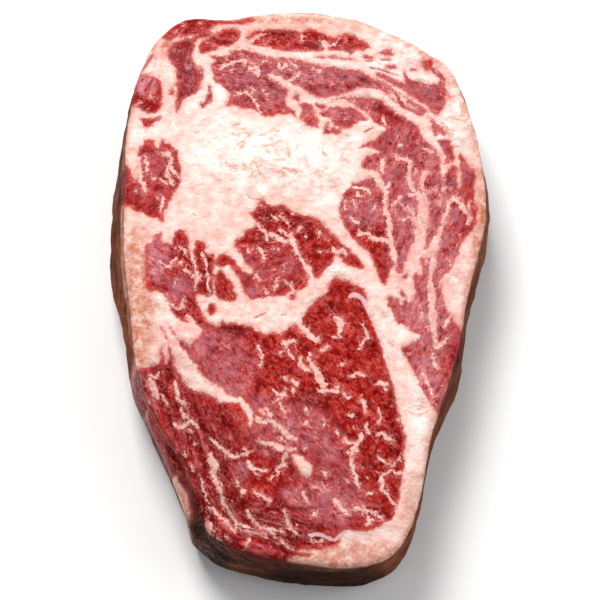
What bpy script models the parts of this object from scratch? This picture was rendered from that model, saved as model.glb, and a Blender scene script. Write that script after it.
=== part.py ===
"""Raw boneless ribeye steak, one thick slice of beef lying on its flat cut underside.

The slice is a rounded shield seen from above, 129 mm wide, 196 mm long and 30 mm thick. Its top
rolls over a soft rim into a wall that bulges outwards low down and tucks in again under the
slice. Along the lower left the wall steps out in a ledge, where a flap of muscle has slid down,
and the front left corner has a notch. The top face swells over the fat kernel and the muscles
and sags along the seam between them.

Units are metres, with lengths written in millimetres and scaled by MM. X runs to the right,
Y away from the narrow end, and Z up. The origin is the bottom centre of the bounding box.
"""

import math

import bpy
from mathutils import Vector
from mathutils.geometry import delaunay_2d_cdt

for old in list(bpy.data.objects):
    bpy.data.objects.remove(old, do_unlink=True)

MM = 0.001

# Overall sizes, in millimetres.
THICKNESS = 30.0
FACE_HEIGHT = 29.2
RIM_ROUND = 2.4
BASE_ROUND = 3.4

# Where down the wall the bulge is widest, and how much of it is gone again at the table.
BULGE_PEAK = 0.62
BULGE_LOSS = 0.45

# The ledge along the lower left: where it starts and ends down the wall, and the crease above it.
LEDGE_START, LEDGE_END = 0.10, 0.36
CREASE_PLACE, CREASE_WIDTH, CREASE_DEPTH = 0.09, 0.05, 0.16

# Uneven ripples around the wall: waves round the slice, lean down the wall, phase and height.
RIPPLES = (
    (9.0, 3.1, 0.0, 0.28),
    (17.0, -4.0, 1.0, 0.20),
)

# How finely the solid is cut.
AROUND = 150
FACE_PITCH = 3.5
EDGE_CLEARANCE = 0.62
RIM_INSETS = (0.3, 0.95, 1.9, 3.1)
WALL_STEPS = (0.0, 0.06, 0.12, 0.18, 0.25, 0.32, 0.42, 0.54, 0.66, 0.78, 0.87, 0.93, 0.965, 0.99, 1.0)
SPLINE_STEPS = 40

# Edge of the top face, clockwise from the middle of the back: x, y, how far the wall bulges
# out beyond the edge, and how much of that bulge is a ledge (0 for none, 1 for all of it).
RIM = (
    (0.0, 97.1, 1.2, 0.0),
    (16.3, 95.1, 1.2, 0.0),
    (31.0, 89.6, 1.2, 0.0),
    (43.8, 82.3, 1.2, 0.0),
    (52.0, 75.0, 1.2, 0.0),
    (56.9, 62.4, 1.3, 0.0),
    (60.3, 49.2, 1.4, 0.0),
    (62.6, 36.2, 1.5, 0.0),
    (62.8, 24.0, 1.5, 0.0),
    (60.5, 12.0, 1.9, 0.0),
    (57.7, 2.0, 1.8, 0.0),
    (55.2, -10.0, 1.4, 0.0),
    (53.0, -21.5, 2.2, 0.0),
    (49.9, -32.5, 2.5, 0.0),
    (46.6, -42.5, 1.3, 0.0),
    (43.3, -53.0, 0.6, 0.0),
    (41.2, -64.0, 0.6, 0.0),
    (38.7, -75.0, 0.6, 0.0),
    (35.2, -85.4, 0.8, 0.0),
    (28.8, -92.6, 1.0, 0.0),
    (17.0, -95.8, 2.2, 0.0),
    (4.0, -94.9, 2.7, 0.0),
    (-9.0, -92.9, 3.0, 0.0),
    (-20.5, -89.3, 3.6, 0.0),
    (-29.6, -84.2, 4.8, 0.2),
    (-32.8, -76.0, 4.5, 0.8),
    (-37.0, -66.0, 4.0, 1.0),
    (-42.0, -56.0, 3.3, 1.0),
    (-47.6, -46.0, 2.4, 0.7),
    (-52.4, -36.0, 2.3, 0.3),
    (-55.0, -22.0, 2.7, 0.0),
    (-56.5, -8.0, 4.1, 0.0),
    (-58.5, 7.0, 5.5, 0.0),
    (-59.2, 22.0, 4.6, 0.0),
    (-58.9, 38.0, 4.2, 0.0),
    (-58.6, 52.0, 2.8, 0.0),
    (-56.6, 67.2, 1.3, 0.0),
    (-52.6, 79.0, 1.2, 0.0),
    (-46.8, 89.2, 1.2, 0.0),
    (-37.5, 95.0, 1.2, 0.0),
    (-25.5, 94.3, 1.2, 0.0),
    (-13.5, 96.3, 1.2, 0.0),
)

# Swellings (and sags) of the top face: x, y, half width, half length, height.
RELIEF = (
    (-14.0, 40.0, 21.0, 14.0, 0.75),
    (8.0, -38.0, 20.0, 30.0, 0.55),
    (43.0, 22.0, 9.0, 26.0, 0.45),
    (0.0, 74.0, 34.0, 9.0, 0.40),
    (-46.0, 38.0, 8.0, 12.0, 0.35),
    (-38.0, 0.0, 11.0, 12.0, 0.35),
    (0.0, 12.0, 17.0, 12.0, 0.35),
    (-6.0, -9.5, 22.0, 5.0, -0.55),
    (31.0, -28.0, 5.0, 34.0, -0.35),
    (-30.0, -34.0, 14.0, 4.5, -0.45),
    (-42.0, -52.0, 9.0, 22.0, -1.50),
    (-28.0, -82.0, 9.0, 8.0, -1.30),
    (52.0, -2.0, 6.0, 12.0, -0.30),
)

# Folds where the flap has slid: points along the fold, its half width and its depth.
FOLDS = (
    (((-43.0, -33.0), (-42.0, -41.0), (-38.5, -50.0), (-33.5, -58.0)), 2.4, 0.7),
    (((-31.0, -62.0), (-27.0, -72.0), (-19.0, -81.0), (-8.0, -85.5)), 2.2, 0.6),
)

# Height of the gentle waves all over the top face.
UNEVEN = 0.10

# Notch in the wall at the front left corner: x, y, half width, depth.
NOTCH = (-31.5, -88.0, 3.6, 1.4)


def spline_point(p0, p1, p2, p3, t):
    """Point at t on the Catmull-Rom stretch from p1 to p2, for tuples of any length."""
    return tuple(
        0.5 * (2.0 * b + (c - a) * t + (2.0 * a - 5.0 * b + 4.0 * c - d) * t * t
               + (3.0 * b - a - 3.0 * c + d) * t * t * t)
        for a, b, c, d in zip(p0, p1, p2, p3))


def resampled_rim(count):
    """The closed rim as evenly spaced points: a list of (x, y, bulge, ledge)."""
    dense = []
    total = len(RIM)
    for i in range(total):
        p0, p1 = RIM[i - 1], RIM[i]
        p2, p3 = RIM[(i + 1) % total], RIM[(i + 2) % total]
        for step in range(SPLINE_STEPS):
            dense.append(spline_point(p0, p1, p2, p3, step / SPLINE_STEPS))
    lengths = [0.0]
    for i in range(len(dense)):
        a, b = dense[i], dense[(i + 1) % len(dense)]
        lengths.append(lengths[-1] + math.hypot(b[0] - a[0], b[1] - a[1]))
    points = []
    j = 0
    for k in range(count):
        target = lengths[-1] * k / count
        while lengths[j + 1] < target:
            j += 1
        part = (target - lengths[j]) / (lengths[j + 1] - lengths[j])
        a, b = dense[j], dense[(j + 1) % len(dense)]
        points.append(tuple(u + (v - u) * part for u, v in zip(a, b)))
    return points


def outward_normals(points):
    """Unit normals that point away from the meat, for a clockwise closed loop."""
    normals = []
    total = len(points)
    for i in range(total):
        a, b = points[i - 2], points[(i + 2) % total]
        tangent = Vector((b[0] - a[0], b[1] - a[1])).normalized()
        normals.append(Vector((-tangent.y, tangent.x)))
    return normals


def smooth_step(low, high, value):
    """0 below low, 1 above high, and an even ease between them."""
    t = min(1.0, max(0.0, (value - low) / (high - low)))
    return t * t * (3.0 - 2.0 * t)


def distance_to_path(x, y, path):
    """Shortest distance from (x, y) to a chain of straight lines."""
    best = 1e9
    for (ax, ay), (bx, by) in zip(path, path[1:]):
        dx, dy = bx - ax, by - ay
        t = ((x - ax) * dx + (y - ay) * dy) / (dx * dx + dy * dy)
        t = min(1.0, max(0.0, t))
        best = min(best, math.hypot(x - ax - t * dx, y - ay - t * dy))
    return best


def face_height(x, y):
    """Height of the top face at (x, y), before it rolls over at the rim."""
    height = FACE_HEIGHT
    for cx, cy, half_x, half_y, rise in RELIEF:
        height += rise * math.exp(-((x - cx) / half_x) ** 2 - ((y - cy) / half_y) ** 2)
    for path, half_width, depth in FOLDS:
        height -= depth * math.exp(-(distance_to_path(x, y, path) / half_width) ** 2)
    return height + UNEVEN * math.sin(0.23 * x + 0.6) * math.sin(0.19 * y + 1.1)


def bulge_share(down, ledge):
    """How much of the bulge the wall has reached at this share of the way down."""
    if down < BULGE_PEAK:
        plain = math.sin(0.5 * math.pi * down / BULGE_PEAK)
    else:
        plain = 1.0 - BULGE_LOSS * ((down - BULGE_PEAK) / (1.0 - BULGE_PEAK)) ** 2
    crease = CREASE_DEPTH * math.exp(-((down - CREASE_PLACE) / CREASE_WIDTH) ** 2)
    stepped = smooth_step(LEDGE_START, LEDGE_END, down) - crease
    return plain + (stepped - plain) * ledge


def base_inset(z):
    """How far the lower edge is rounded in at height z."""
    if z >= BASE_ROUND:
        return 0.0
    return BASE_ROUND - math.sqrt(max(0.0, BASE_ROUND ** 2 - (BASE_ROUND - z) ** 2))


def wall_point(point, normal, turn, down):
    """One point of the wall, this share of the way down from the rim to the table."""
    x, y, bulge, ledge = point
    rim_z = face_height(x, y) - RIM_ROUND
    z = rim_z * (1.0 - down)
    out = bulge * bulge_share(down, min(1.0, max(0.0, ledge))) - base_inset(z)
    for waves, lean, phase, height in RIPPLES:
        out += height * math.sin(math.pi * down) * math.sin(waves * turn + lean * down + phase)
    nx, ny, half_width, depth = NOTCH
    near = math.hypot(x + normal.x * bulge - nx, y + normal.y * bulge - ny)
    out -= depth * math.exp(-(near / half_width) ** 2) * smooth_step(LEDGE_START, LEDGE_END, down)
    return (x + normal.x * out, y + normal.y * out, z)


def rim_point(point, normal, inset):
    """One point of the rounded rim, this far in from the edge of the face."""
    x = point[0] - normal.x * inset
    y = point[1] - normal.y * inset
    drop = 0.0
    if inset < RIM_ROUND:
        drop = RIM_ROUND - math.sqrt(RIM_ROUND ** 2 - (RIM_ROUND - inset) ** 2)
    return (x, y, face_height(x, y) - drop)


def inside(x, y, loop):
    """True when (x, y) is inside the closed loop."""
    hit = False
    for (ax, ay), (bx, by) in zip(loop, loop[1:] + loop[:1]):
        if (ay > y) != (by > y) and x < ax + (y - ay) * (bx - ax) / (by - ay):
            hit = not hit
    return hit


def fill_points(loop, pitch):
    """An even triangular field of points inside the loop, kept clear of its edge."""
    xs = [p[0] for p in loop]
    ys = [p[1] for p in loop]
    points = []
    row_height = pitch * math.sqrt(3.0) / 2.0
    rows = int((max(ys) - min(ys)) / row_height) + 1
    for row in range(rows):
        y = min(ys) + row * row_height
        shift = 0.5 * pitch if row % 2 else 0.0
        columns = int((max(xs) - min(xs)) / pitch) + 2
        for column in range(columns):
            x = min(xs) + column * pitch + shift
            if inside(x, y, loop) and distance_to_path(x, y, loop + loop[:1]) > EDGE_CLEARANCE * pitch:
                points.append((x, y))
    return points


def fill_loop(loop, extra):
    """Anticlockwise triangles that fill a loop, numbered with the loop first and then the extra points."""
    flat = [Vector(p) for p in loop + extra]
    count = len(loop)
    edges = [(i, (i + 1) % count) for i in range(count)]
    points, _, faces, origins, _, _ = delaunay_2d_cdt(flat, edges, [list(range(count))], 1, 1e-6)
    index = {i: origin[0] for i, origin in enumerate(origins)}
    triangles = []
    for face in faces:
        a, b, c = (points[i] for i in face)
        turn = (b - a).cross(c - a)
        face = [index[i] for i in face]
        triangles.append(tuple(face) if turn > 0.0 else tuple(reversed(face)))
    return triangles


def build_steak():
    """The whole slice as one closed mesh: lists of points and faces."""
    rim = resampled_rim(AROUND)
    normals = outward_normals(rim)
    points = []
    faces = []

    inner = [rim_point(p, n, RIM_INSETS[-1]) for p, n in zip(rim, normals)]
    inner_loop = [(p[0], p[1]) for p in inner]
    field = fill_points(inner_loop, FACE_PITCH)
    points += inner
    points += [(x, y, face_height(x, y)) for x, y in field]
    faces += fill_loop(inner_loop, field)

    rings = [0]
    for inset in reversed(RIM_INSETS[:-1]):
        rings.append(len(points))
        points += [rim_point(p, n, inset) for p, n in zip(rim, normals)]
    for down in WALL_STEPS:
        rings.append(len(points))
        points += [
            wall_point(p, n, 2.0 * math.pi * i / AROUND, down)
            for i, (p, n) in enumerate(zip(rim, normals))]
    for upper, lower in zip(rings, rings[1:]):
        for i in range(AROUND):
            j = (i + 1) % AROUND
            faces.append((upper + i, upper + j, lower + j, lower + i))

    base = rings[-1]
    base_loop = [(points[base + i][0], points[base + i][1]) for i in range(AROUND)]
    for a, b, c in fill_loop(base_loop, []):
        faces.append((base + c, base + b, base + a))
    return points, faces


def centred(points):
    """Move the points so that the bounding box stands on the origin, and trim its height."""
    xs = [p[0] for p in points]
    ys = [p[1] for p in points]
    top = max(p[2] for p in points)
    shift_x = 0.5 * (min(xs) + max(xs))
    shift_y = 0.5 * (min(ys) + max(ys))
    return [((x - shift_x) * MM, (y - shift_y) * MM, z * THICKNESS / top * MM) for x, y, z in points]


meat = bpy.data.materials.new("raw_beef")
meat.use_nodes = True
principled = meat.node_tree.nodes["Principled BSDF"]
principled.inputs["Base Color"].default_value = (0.42, 0.035, 0.03, 1.0)
principled.inputs["Roughness"].default_value = 0.38

steak_points, steak_faces = build_steak()
steak_mesh = bpy.data.meshes.new("steak")
steak_mesh.from_pydata(centred(steak_points), [], steak_faces)
steak_mesh.polygons.foreach_set("use_smooth", [True] * len(steak_mesh.polygons))
steak_mesh.materials.append(meat)
steak_mesh.update()

steak = bpy.data.objects.new("steak", steak_mesh)
bpy.context.scene.collection.objects.link(steak)
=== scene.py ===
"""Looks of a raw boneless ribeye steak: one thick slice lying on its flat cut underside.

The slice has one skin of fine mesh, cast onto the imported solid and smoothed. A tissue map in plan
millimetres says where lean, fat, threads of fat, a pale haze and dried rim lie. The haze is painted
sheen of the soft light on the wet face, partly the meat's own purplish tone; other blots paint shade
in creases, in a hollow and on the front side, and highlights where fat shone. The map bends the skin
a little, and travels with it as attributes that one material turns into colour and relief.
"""

import logging
import math
from dataclasses import dataclass
from enum import Enum

import bpy
import numpy as np
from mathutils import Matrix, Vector
from mathutils.bvhtree import BVHTree
from mathutils.geometry import delaunay_2d_cdt

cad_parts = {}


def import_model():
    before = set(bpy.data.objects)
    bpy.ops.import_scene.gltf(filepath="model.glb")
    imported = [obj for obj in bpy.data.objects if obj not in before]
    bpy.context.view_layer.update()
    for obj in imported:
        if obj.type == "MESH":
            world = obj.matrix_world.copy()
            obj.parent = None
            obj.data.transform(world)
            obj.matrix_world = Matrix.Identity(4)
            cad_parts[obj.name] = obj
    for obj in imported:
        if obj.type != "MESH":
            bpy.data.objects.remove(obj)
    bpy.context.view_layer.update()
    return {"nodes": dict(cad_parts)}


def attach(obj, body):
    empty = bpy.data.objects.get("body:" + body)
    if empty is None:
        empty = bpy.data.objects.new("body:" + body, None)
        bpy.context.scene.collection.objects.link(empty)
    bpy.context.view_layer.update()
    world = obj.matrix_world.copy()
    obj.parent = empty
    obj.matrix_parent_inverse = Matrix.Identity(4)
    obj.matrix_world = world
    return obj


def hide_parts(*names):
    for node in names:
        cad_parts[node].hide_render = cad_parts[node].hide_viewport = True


MM = 0.001
LOG = logging.getLogger("ribeye")

Points = np.ndarray
Colour = tuple[float, float, float]


class Tint(Enum):
    """What a blot does to the meat under it, and the attribute column that holds it."""

    # Painted sheen: a pale purple-pink wash standing in for the soft light's reflection on the wet face, partly also
    # the meat's own purplish tone.
    PAINTED_SHEEN = 0
    # Darker meat, and painted shade: along the flap's crease, in the front-left hollow and on the front side.
    DARK_AND_SHADE = 1
    GLOW = 2
    # Whiter fat, and painted highlights where fat or a thread shone.
    WHITE_AND_HIGHLIGHT = 3
    ORANGE = 4
    STAIN = 5
    STRINGY = 6
    FRESH = 7


class Line(Enum):
    """What a thin line on fat or rim is made of, as the value its corners carry."""

    STRAND = 0.1
    BROWN = 0.3
    SILVER = 0.5
    LEAN = 0.7
    # Painted shade in a fold.
    CREASE_SHADE = 0.9


@dataclass(frozen=True)
class Muscle:
    """A patch of lean in the cut face: its outline in plan millimetres and its fibres' direction."""

    name: str
    outline: str
    grain: float


MUSCLES: tuple[Muscle, ...] = (
    Muscle(
        "back left lobe",
        "-58.5,62.5 -58.5,70 -56,74 -49.5,72.9 -48,72.5 -46.8,70 -46.8,63 -47.5,60.8 -49.5,59.3 "
        "-51.5,59.8 -56,62",
        60,
    ),
    Muscle("lobe below it", "-54.3,58.3 -51,58 -47,58.5 -47.3,57.3 -49,56.5 -50.8,55 -52.8,54.8", 20),
    Muscle(
        "left ladder",
        "-45,82.5 -43,86 -41,86.2 -39,87 -36.5,87.5 -34.5,89.3 -32,90.3 -30.5,89.5 -30,88 -32,87 "
        "-35,86 -36.5,81 -36.2,79 -35.5,77 -33,75.5 -32.8,73 -33.8,69 -35,66.8 -37.5,65.8 -39.5,64 "
        "-41.8,59.5 -42.3,63 -41.8,66 -42,68.5 -42.8,70 -41.5,71 -42.3,73.5 -42.3,76 -44.7,78.5",
        80,
    ),
    Muscle(
        "mixed strip",
        "-33.7,86 -30.5,87.3 -28.5,89 -25,90.6 -22,90.4 -20,88.5 -21,85.5 -24,83.9 -27,83.4 -30,82.3 "
        "-33,81 -34.8,82.3",
        30,
    ),
    Muscle(
        "dried crust",
        "-47.5,87.5 -44.5,91.5 -40,95 -35.5,97 -31,95.6 -26,94 -20,94 -16.5,95 -15.2,93.2 -19,91.6 "
        "-24,91.8 -29,91 -31,89.6 -38,87 -41.5,87 -44.5,85.8",
        20,
    ),
    Muscle(
        "link",
        "-31,69.5 -30,69.3 -29.5,64.5 -29.8,63.5 -31.5,62.5 -33,61.3 -34,62.5 -33.5,63.7 -32.3,64 "
        "-31.5,66.5",
        70,
    ),
    Muscle(
        "back strip",
        "-18.5,87.5 -15,89.6 -11,90.2 -5,90.2 0.5,89.6 4,90.5 7.5,89 10,88.2 12,87.2 14.5,88.6 "
        "16.8,88.8 19.5,87.3 24,84 22,82.4 19,82 17.5,80.4 15,81.8 9,82 0,81.7 -8,82.5 -17,84.8 "
        "-18.6,86",
        5,
    ),
    Muscle(
        "shoulder blade muscle",
        "-31,80.6 -25,80.6 -22,82.2 -19,82.8 -15,81.8 -11,80 -3,79.4 1,78.6 8,76.4 12,76.4 16,75.5 "
        "20,75.3 24.5,72.2 27,71.5 29.5,70.3 31.5,68.5 39.5,63.2 42.5,61.5 43,59.8 41.5,58.8 39.5,59 "
        "37,60.3 32,63.8 27,67.8 20.5,68.6 17,67 9,65.2 5.5,65.4 0,68.8 -3.5,69.8 -4,69 -4.2,66.5 "
        "-4.7,64 -4.5,62 -3,61.5 -1.5,60 -1.3,58.3 -3,59.3 -7.5,59 -9,58.3 -11,58.5 -12,58 -15,60.5 "
        "-20,61 -21,62 -24.5,62 -25,63.5 -24,65 -24,67 -25.8,68.5 -27,70 -28.8,70.5 -29.8,72 -29.8,75 "
        "-30.5,77 -29,78.5",
        -15,
    ),
    Muscle(
        "right arch",
        "26,74.4 29,73.6 34.3,71 35.6,70.6 35,73 35.2,75.8 37.8,71.8 40,71 43,70.3 46.3,70.3 47.2,72.3 "
        "46,74 49,73 49.3,70 49.8,67 49.3,63 48.2,60 47,58.6 45,59 42.5,62.8 40,64.2 28.5,71.5 26,73",
        -30,
    ),
    Muscle(
        "middle pad",
        "0,63 4,63 4.5,61 5.2,59 6.3,57.3 6.5,55.5 6.8,54.3 4,54.6 1.5,56 -0.3,58 0.3,60.5",
        40,
    ),
    Muscle(
        "middle loop",
        "6.2,59.8 8,60.8 9.5,62 12,62.5 15,62 17.5,62.3 21,59.8 23,57.5 22,56.8 20,56.8 16,53.8 12,55 "
        "10.8,56.2 10,57.8 7.5,58.5",
        -20,
    ),
    Muscle("loop end", "5.3,63 7.5,63 9,62.3 7.5,61.2 5.8,61.5", 0),
    Muscle("middle chip", "8,54 9,56.8 9.8,56.8 10,54 11,54.8 14.5,53.3 13,52 11,52 8,52", 0),
    Muscle(
        "cap",
        "17,65.3 20,65.8 23.5,65.6 27,64.6 32,60.2 35,58.8 39.8,55.5 41.8,50.5 46.3,46 47.6,40 47.9,37 "
        "50.8,40.6 52.7,40.2 52.9,36 53.3,32.5 54.2,36 53.6,46.3 56.5,41.5 59.2,38 58.8,34 58.8,30 "
        "59.4,26 59.3,21.5 58.3,19 54.3,13.5 52.3,8 51,5 49.2,3.3 47.8,1.3 47.2,-1.5 48.5,-8.3 "
        "53.7,-17 54.5,-20 53.5,-24 51.5,-28 48,-36.5 46.8,-41 45.6,-44.6 44,-43.5 40.5,-38 39,-34.5 "
        "34.2,-25 33.3,-22.3 36,-21 38.5,-20 40,-18.7 38.5,-17.5 36.5,-17 34.5,-15 32.3,-14.3 31.3,-12 "
        "29.2,-8 29.3,-5.2 32.6,-5.6 33.5,-7.5 34.2,-5.6 33,-4 33.4,-2.6 34.5,-3 36,-7 37.8,-4.8 "
        "38.5,-2.5 37.7,-0.5 37.8,2.5 38.8,4 40,2.2 40.5,4.8 39.8,7 40.4,8.8 41.6,8 42.2,6 42.6,8.2 "
        "43.6,8.4 45.7,9.5 45.9,13 46.2,16 43.5,12.5 41.2,11.2 41.8,14 39.5,14 36.8,11.5 34.8,5 34,3 "
        "32.5,2.8 31.8,4 32,5.5 31.6,7 31.2,5.5 30.5,4.5 28.8,0.5 28.7,-1.3 27.2,-0.3 26,2 24,8 22,11 "
        "17.5,15 14,21.5 13.3,27 15.2,32 17,33.2 17.4,34.8 20,35 21.3,36.4 23.5,36.8 25.5,36.3 27,37.5 "
        "25,39 23,39.2 21,40 20.8,42 22,44.2 24.5,45.1 26.5,45.5 24,47.3 20,47.2 22.5,49 26.5,51 "
        "27.5,53 29.2,54.2 25,56 24.3,57.8 22,60 17.5,63.2 15.8,64.3",
        65,
    ),
    Muscle(
        "cap tip",
        "43.2,58.6 44.2,58.4 47.5,55 49.2,53.5 49.2,51.7 47.8,51.7 46.5,53 46.3,51.6 45,51.6 44.2,56.5",
        60,
    ),
    Muscle(
        "cap shoulder",
        "46.6,50 50.2,50 51.9,45 52.3,42.6 51,42 48.9,41 48.8,44 48.4,46.3 47,48.2",
        70,
    ),
    Muscle(
        "left medallion",
        "-54.8,46.5 -53,48.8 -52.3,50 -49.3,50.2 -49,48 -48,47.5 -46.5,50.2 -45,48.8 -43,48 -41.5,46 "
        "-40.6,43 -40,37 -40.2,34.5 -43,29.5 -44,27 -45.3,24.5 -46,21 -47.5,22 -50,22.3 -53,24.2 "
        "-55,24.7 -58.5,27 -61,28.5 -61,36 -60.5,41 -57.5,40.5 -56.5,38 -55,36 -54.3,39 -54.7,43",
        35,
    ),
    Muscle(
        "left fan",
        "-51.8,12.5 -50,14 -49,16 -47,17.4 -46.2,16.8 -45.9,14 -44.8,14 -43,13.5 -42.4,15.6 -41.3,17.9 "
        "-39.4,18.1 -38,17 -37.1,15 -37,12 -36.2,9.5 -35.6,11 -35.2,13.8 -34,14.8 -30.9,12.7 "
        "-31.6,11.3 -30.5,10.1 -28.4,9.6 -28.4,7 -28.8,-3 -29,-5 -30.5,-5.3 -31.3,-7 -31.5,-5 "
        "-34.3,-4.8 -33.8,-7.5 -31.4,-12.5 -30,-14 -28,-15 -28,-16.5 -32,-16.6 -35,-14 -36.5,-13 "
        "-37,-14 -39.5,-13.5 -42.5,-10.5 -43,-8.5 -46,-4 -48,-3.2 -50.3,-3.1 -51.5,-1.5 -51.9,1 "
        "-51.5,5",
        -40,
    ),
    Muscle(
        "fan edge",
        "-28.4,0.5 -28,3.2 -26.8,4.2 -25.3,3 -22.5,0 -21.7,-3 -21,-5 -21.5,-6.6 -24,-6.9 -27,-6 "
        "-28.4,-4",
        -60,
    ),
    Muscle(
        "upper eye",
        "-14.7,26 -14.5,27 -13,28.5 -11.5,28.3 -10,27 -8,26.8 -6,27.3 -1.5,24.5 1,23.3 5.5,22.5 9,19.3 "
        "9.5,18 13,15 19.5,8.6 21.3,6 21.3,4.8 20,4.5 18,5 14.3,6.8 13.6,8.2 12.5,9.2 11.6,9 11,6.3 "
        "8.5,4 7,2 5,0.9 3.3,5.5 1.4,5.6 2,4 3,0.3 1,-2.6 -4,-3.5 -5,-4.6 -9.5,-5 -15,-6 -17.5,-5.2 "
        "-18.6,-3.5 -20.5,1.4 -23.5,5.6 -25.3,5 -28.4,6 -28.2,8.3 -26,9.8 -24,9.8 -22,8.3 -20.3,5.6 "
        "-18,3.6 -16.2,3.2 -16,5 -17,5.4 -18.5,7 -20.5,11 -22,12.5 -22,14.3 -20,15.5 -18,18 -15.2,20 "
        "-15.3,21.5 -17,24 -15.5,25",
        25,
    ),
    Muscle("fan island", "-30.6,-8 -29.4,-7.4 -27.9,-8 -27.5,-9 -28.6,-11 -30,-11.6 -30.8,-10", 0),
    Muscle(
        "eye",
        "-32,-16.7 -30,-15.2 -27,-14.6 -25.5,-13 -24,-14 -22,-13.8 -17,-14.8 -13,-17 -11,-17.5 -9,-17 "
        "-6.3,-18 -3.5,-15 0,-14.2 0.5,-12.6 3,-8 6.5,-4.8 8,-4 9,-2.5 9.6,-0.4 10.8,0.9 12.6,1.6 "
        "14.5,1 20,-1.2 21.5,-2.5 22.1,-5 22.4,-8.5 26.6,-20 28.6,-28 31,-36 32.5,-44 34.3,-51 "
        "34.6,-54 33.6,-66 31.3,-77 30,-80.3 28,-81.3 22,-84.3 15,-83.8 12.8,-86 13.4,-87 12.5,-88.5 "
        "11,-89.3 9,-89.6 7.5,-90.2 5,-90.5 2.5,-90 0,-90.3 1.5,-91 3.5,-91.4 3.2,-92.5 0,-92.6 "
        "-3,-92.8 -6,-95 -14,-93.5 -22,-91 -28,-88.5 -33,-86 -37,-79 -42,-68 -48,-58 -53,-47 -56,-38 "
        "-57.5,-31 -54.5,-29.7 -51,-29.2 -49,-28.2 -47,-27.6 -46,-26.2 -46.3,-24 -45.4,-22.3 "
        "-44.3,-27.5 -43.5,-22 -45.5,-17 -46.4,-15 -43.8,-18.5 -41.2,-28 -38.5,-33.2 -36.5,-35.6 "
        "-34,-37 -28.5,-39 -26.8,-40.8 -21,-40.8 -19.4,-42 -17.3,-46.2 -16.3,-48.8 -15.6,-47 "
        "-16.2,-43.3 -17.7,-41.2 -19.2,-39.9 -23.5,-38.6 -25.5,-36.6 -27.5,-35 -30,-34 -33.5,-30 "
        "-34.6,-28 -37.5,-24.2 -39,-23 -41.5,-18.5 -43.6,-15 -41.8,-16.8 -40.2,-19.2 -38.4,-20.3 "
        "-36.8,-21.6 -35.6,-21",
        -52,
    ),
    Muscle("back chip", "21,80 22.5,81 25.6,80 24.5,79.3 22,79.3", 0),
    Muscle("purple chip", "26.5,82 28,80.5 31,80.2 32,81 31.5,82.5 29.5,83", 0),
    Muscle(
        "crimson hook",
        "41.5,78.5 43.5,79 45,79.8 45.6,78 45.4,76 48.8,73.3 49.2,71 48.6,70 47.5,72 44.5,74.6 "
        "42.5,75.2 41.5,76.5",
        -50,
    ),
    Muscle("hook chip", "37.5,75.8 39.5,75.8 40,75 38,74.8", 0),
    Muscle("dark lens", "4.5,79.7 10,80.3 17,79.4 19.5,79 18,78.5 14,78.9", 0),
    Muscle("seam sliver", "10.5,64.3 13,65.3 17,66 18,65.7 15,65 12,64.2", -20),
)

# Small round islands of lean: centre x, y and half sizes.
BEADS: tuple[tuple[float, float, float, float], ...] = (
    (-43.3, 67.3, 0.9, 1.6),
    (-1.3, 65.3, 1.2, 1.4),
    (-2.5, -4.8, 1.3, 1.2),
    (35.0, 2.0, 1.3, 1.0),
    (31.0, 76.4, 2.3, 1.1),
)

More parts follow.
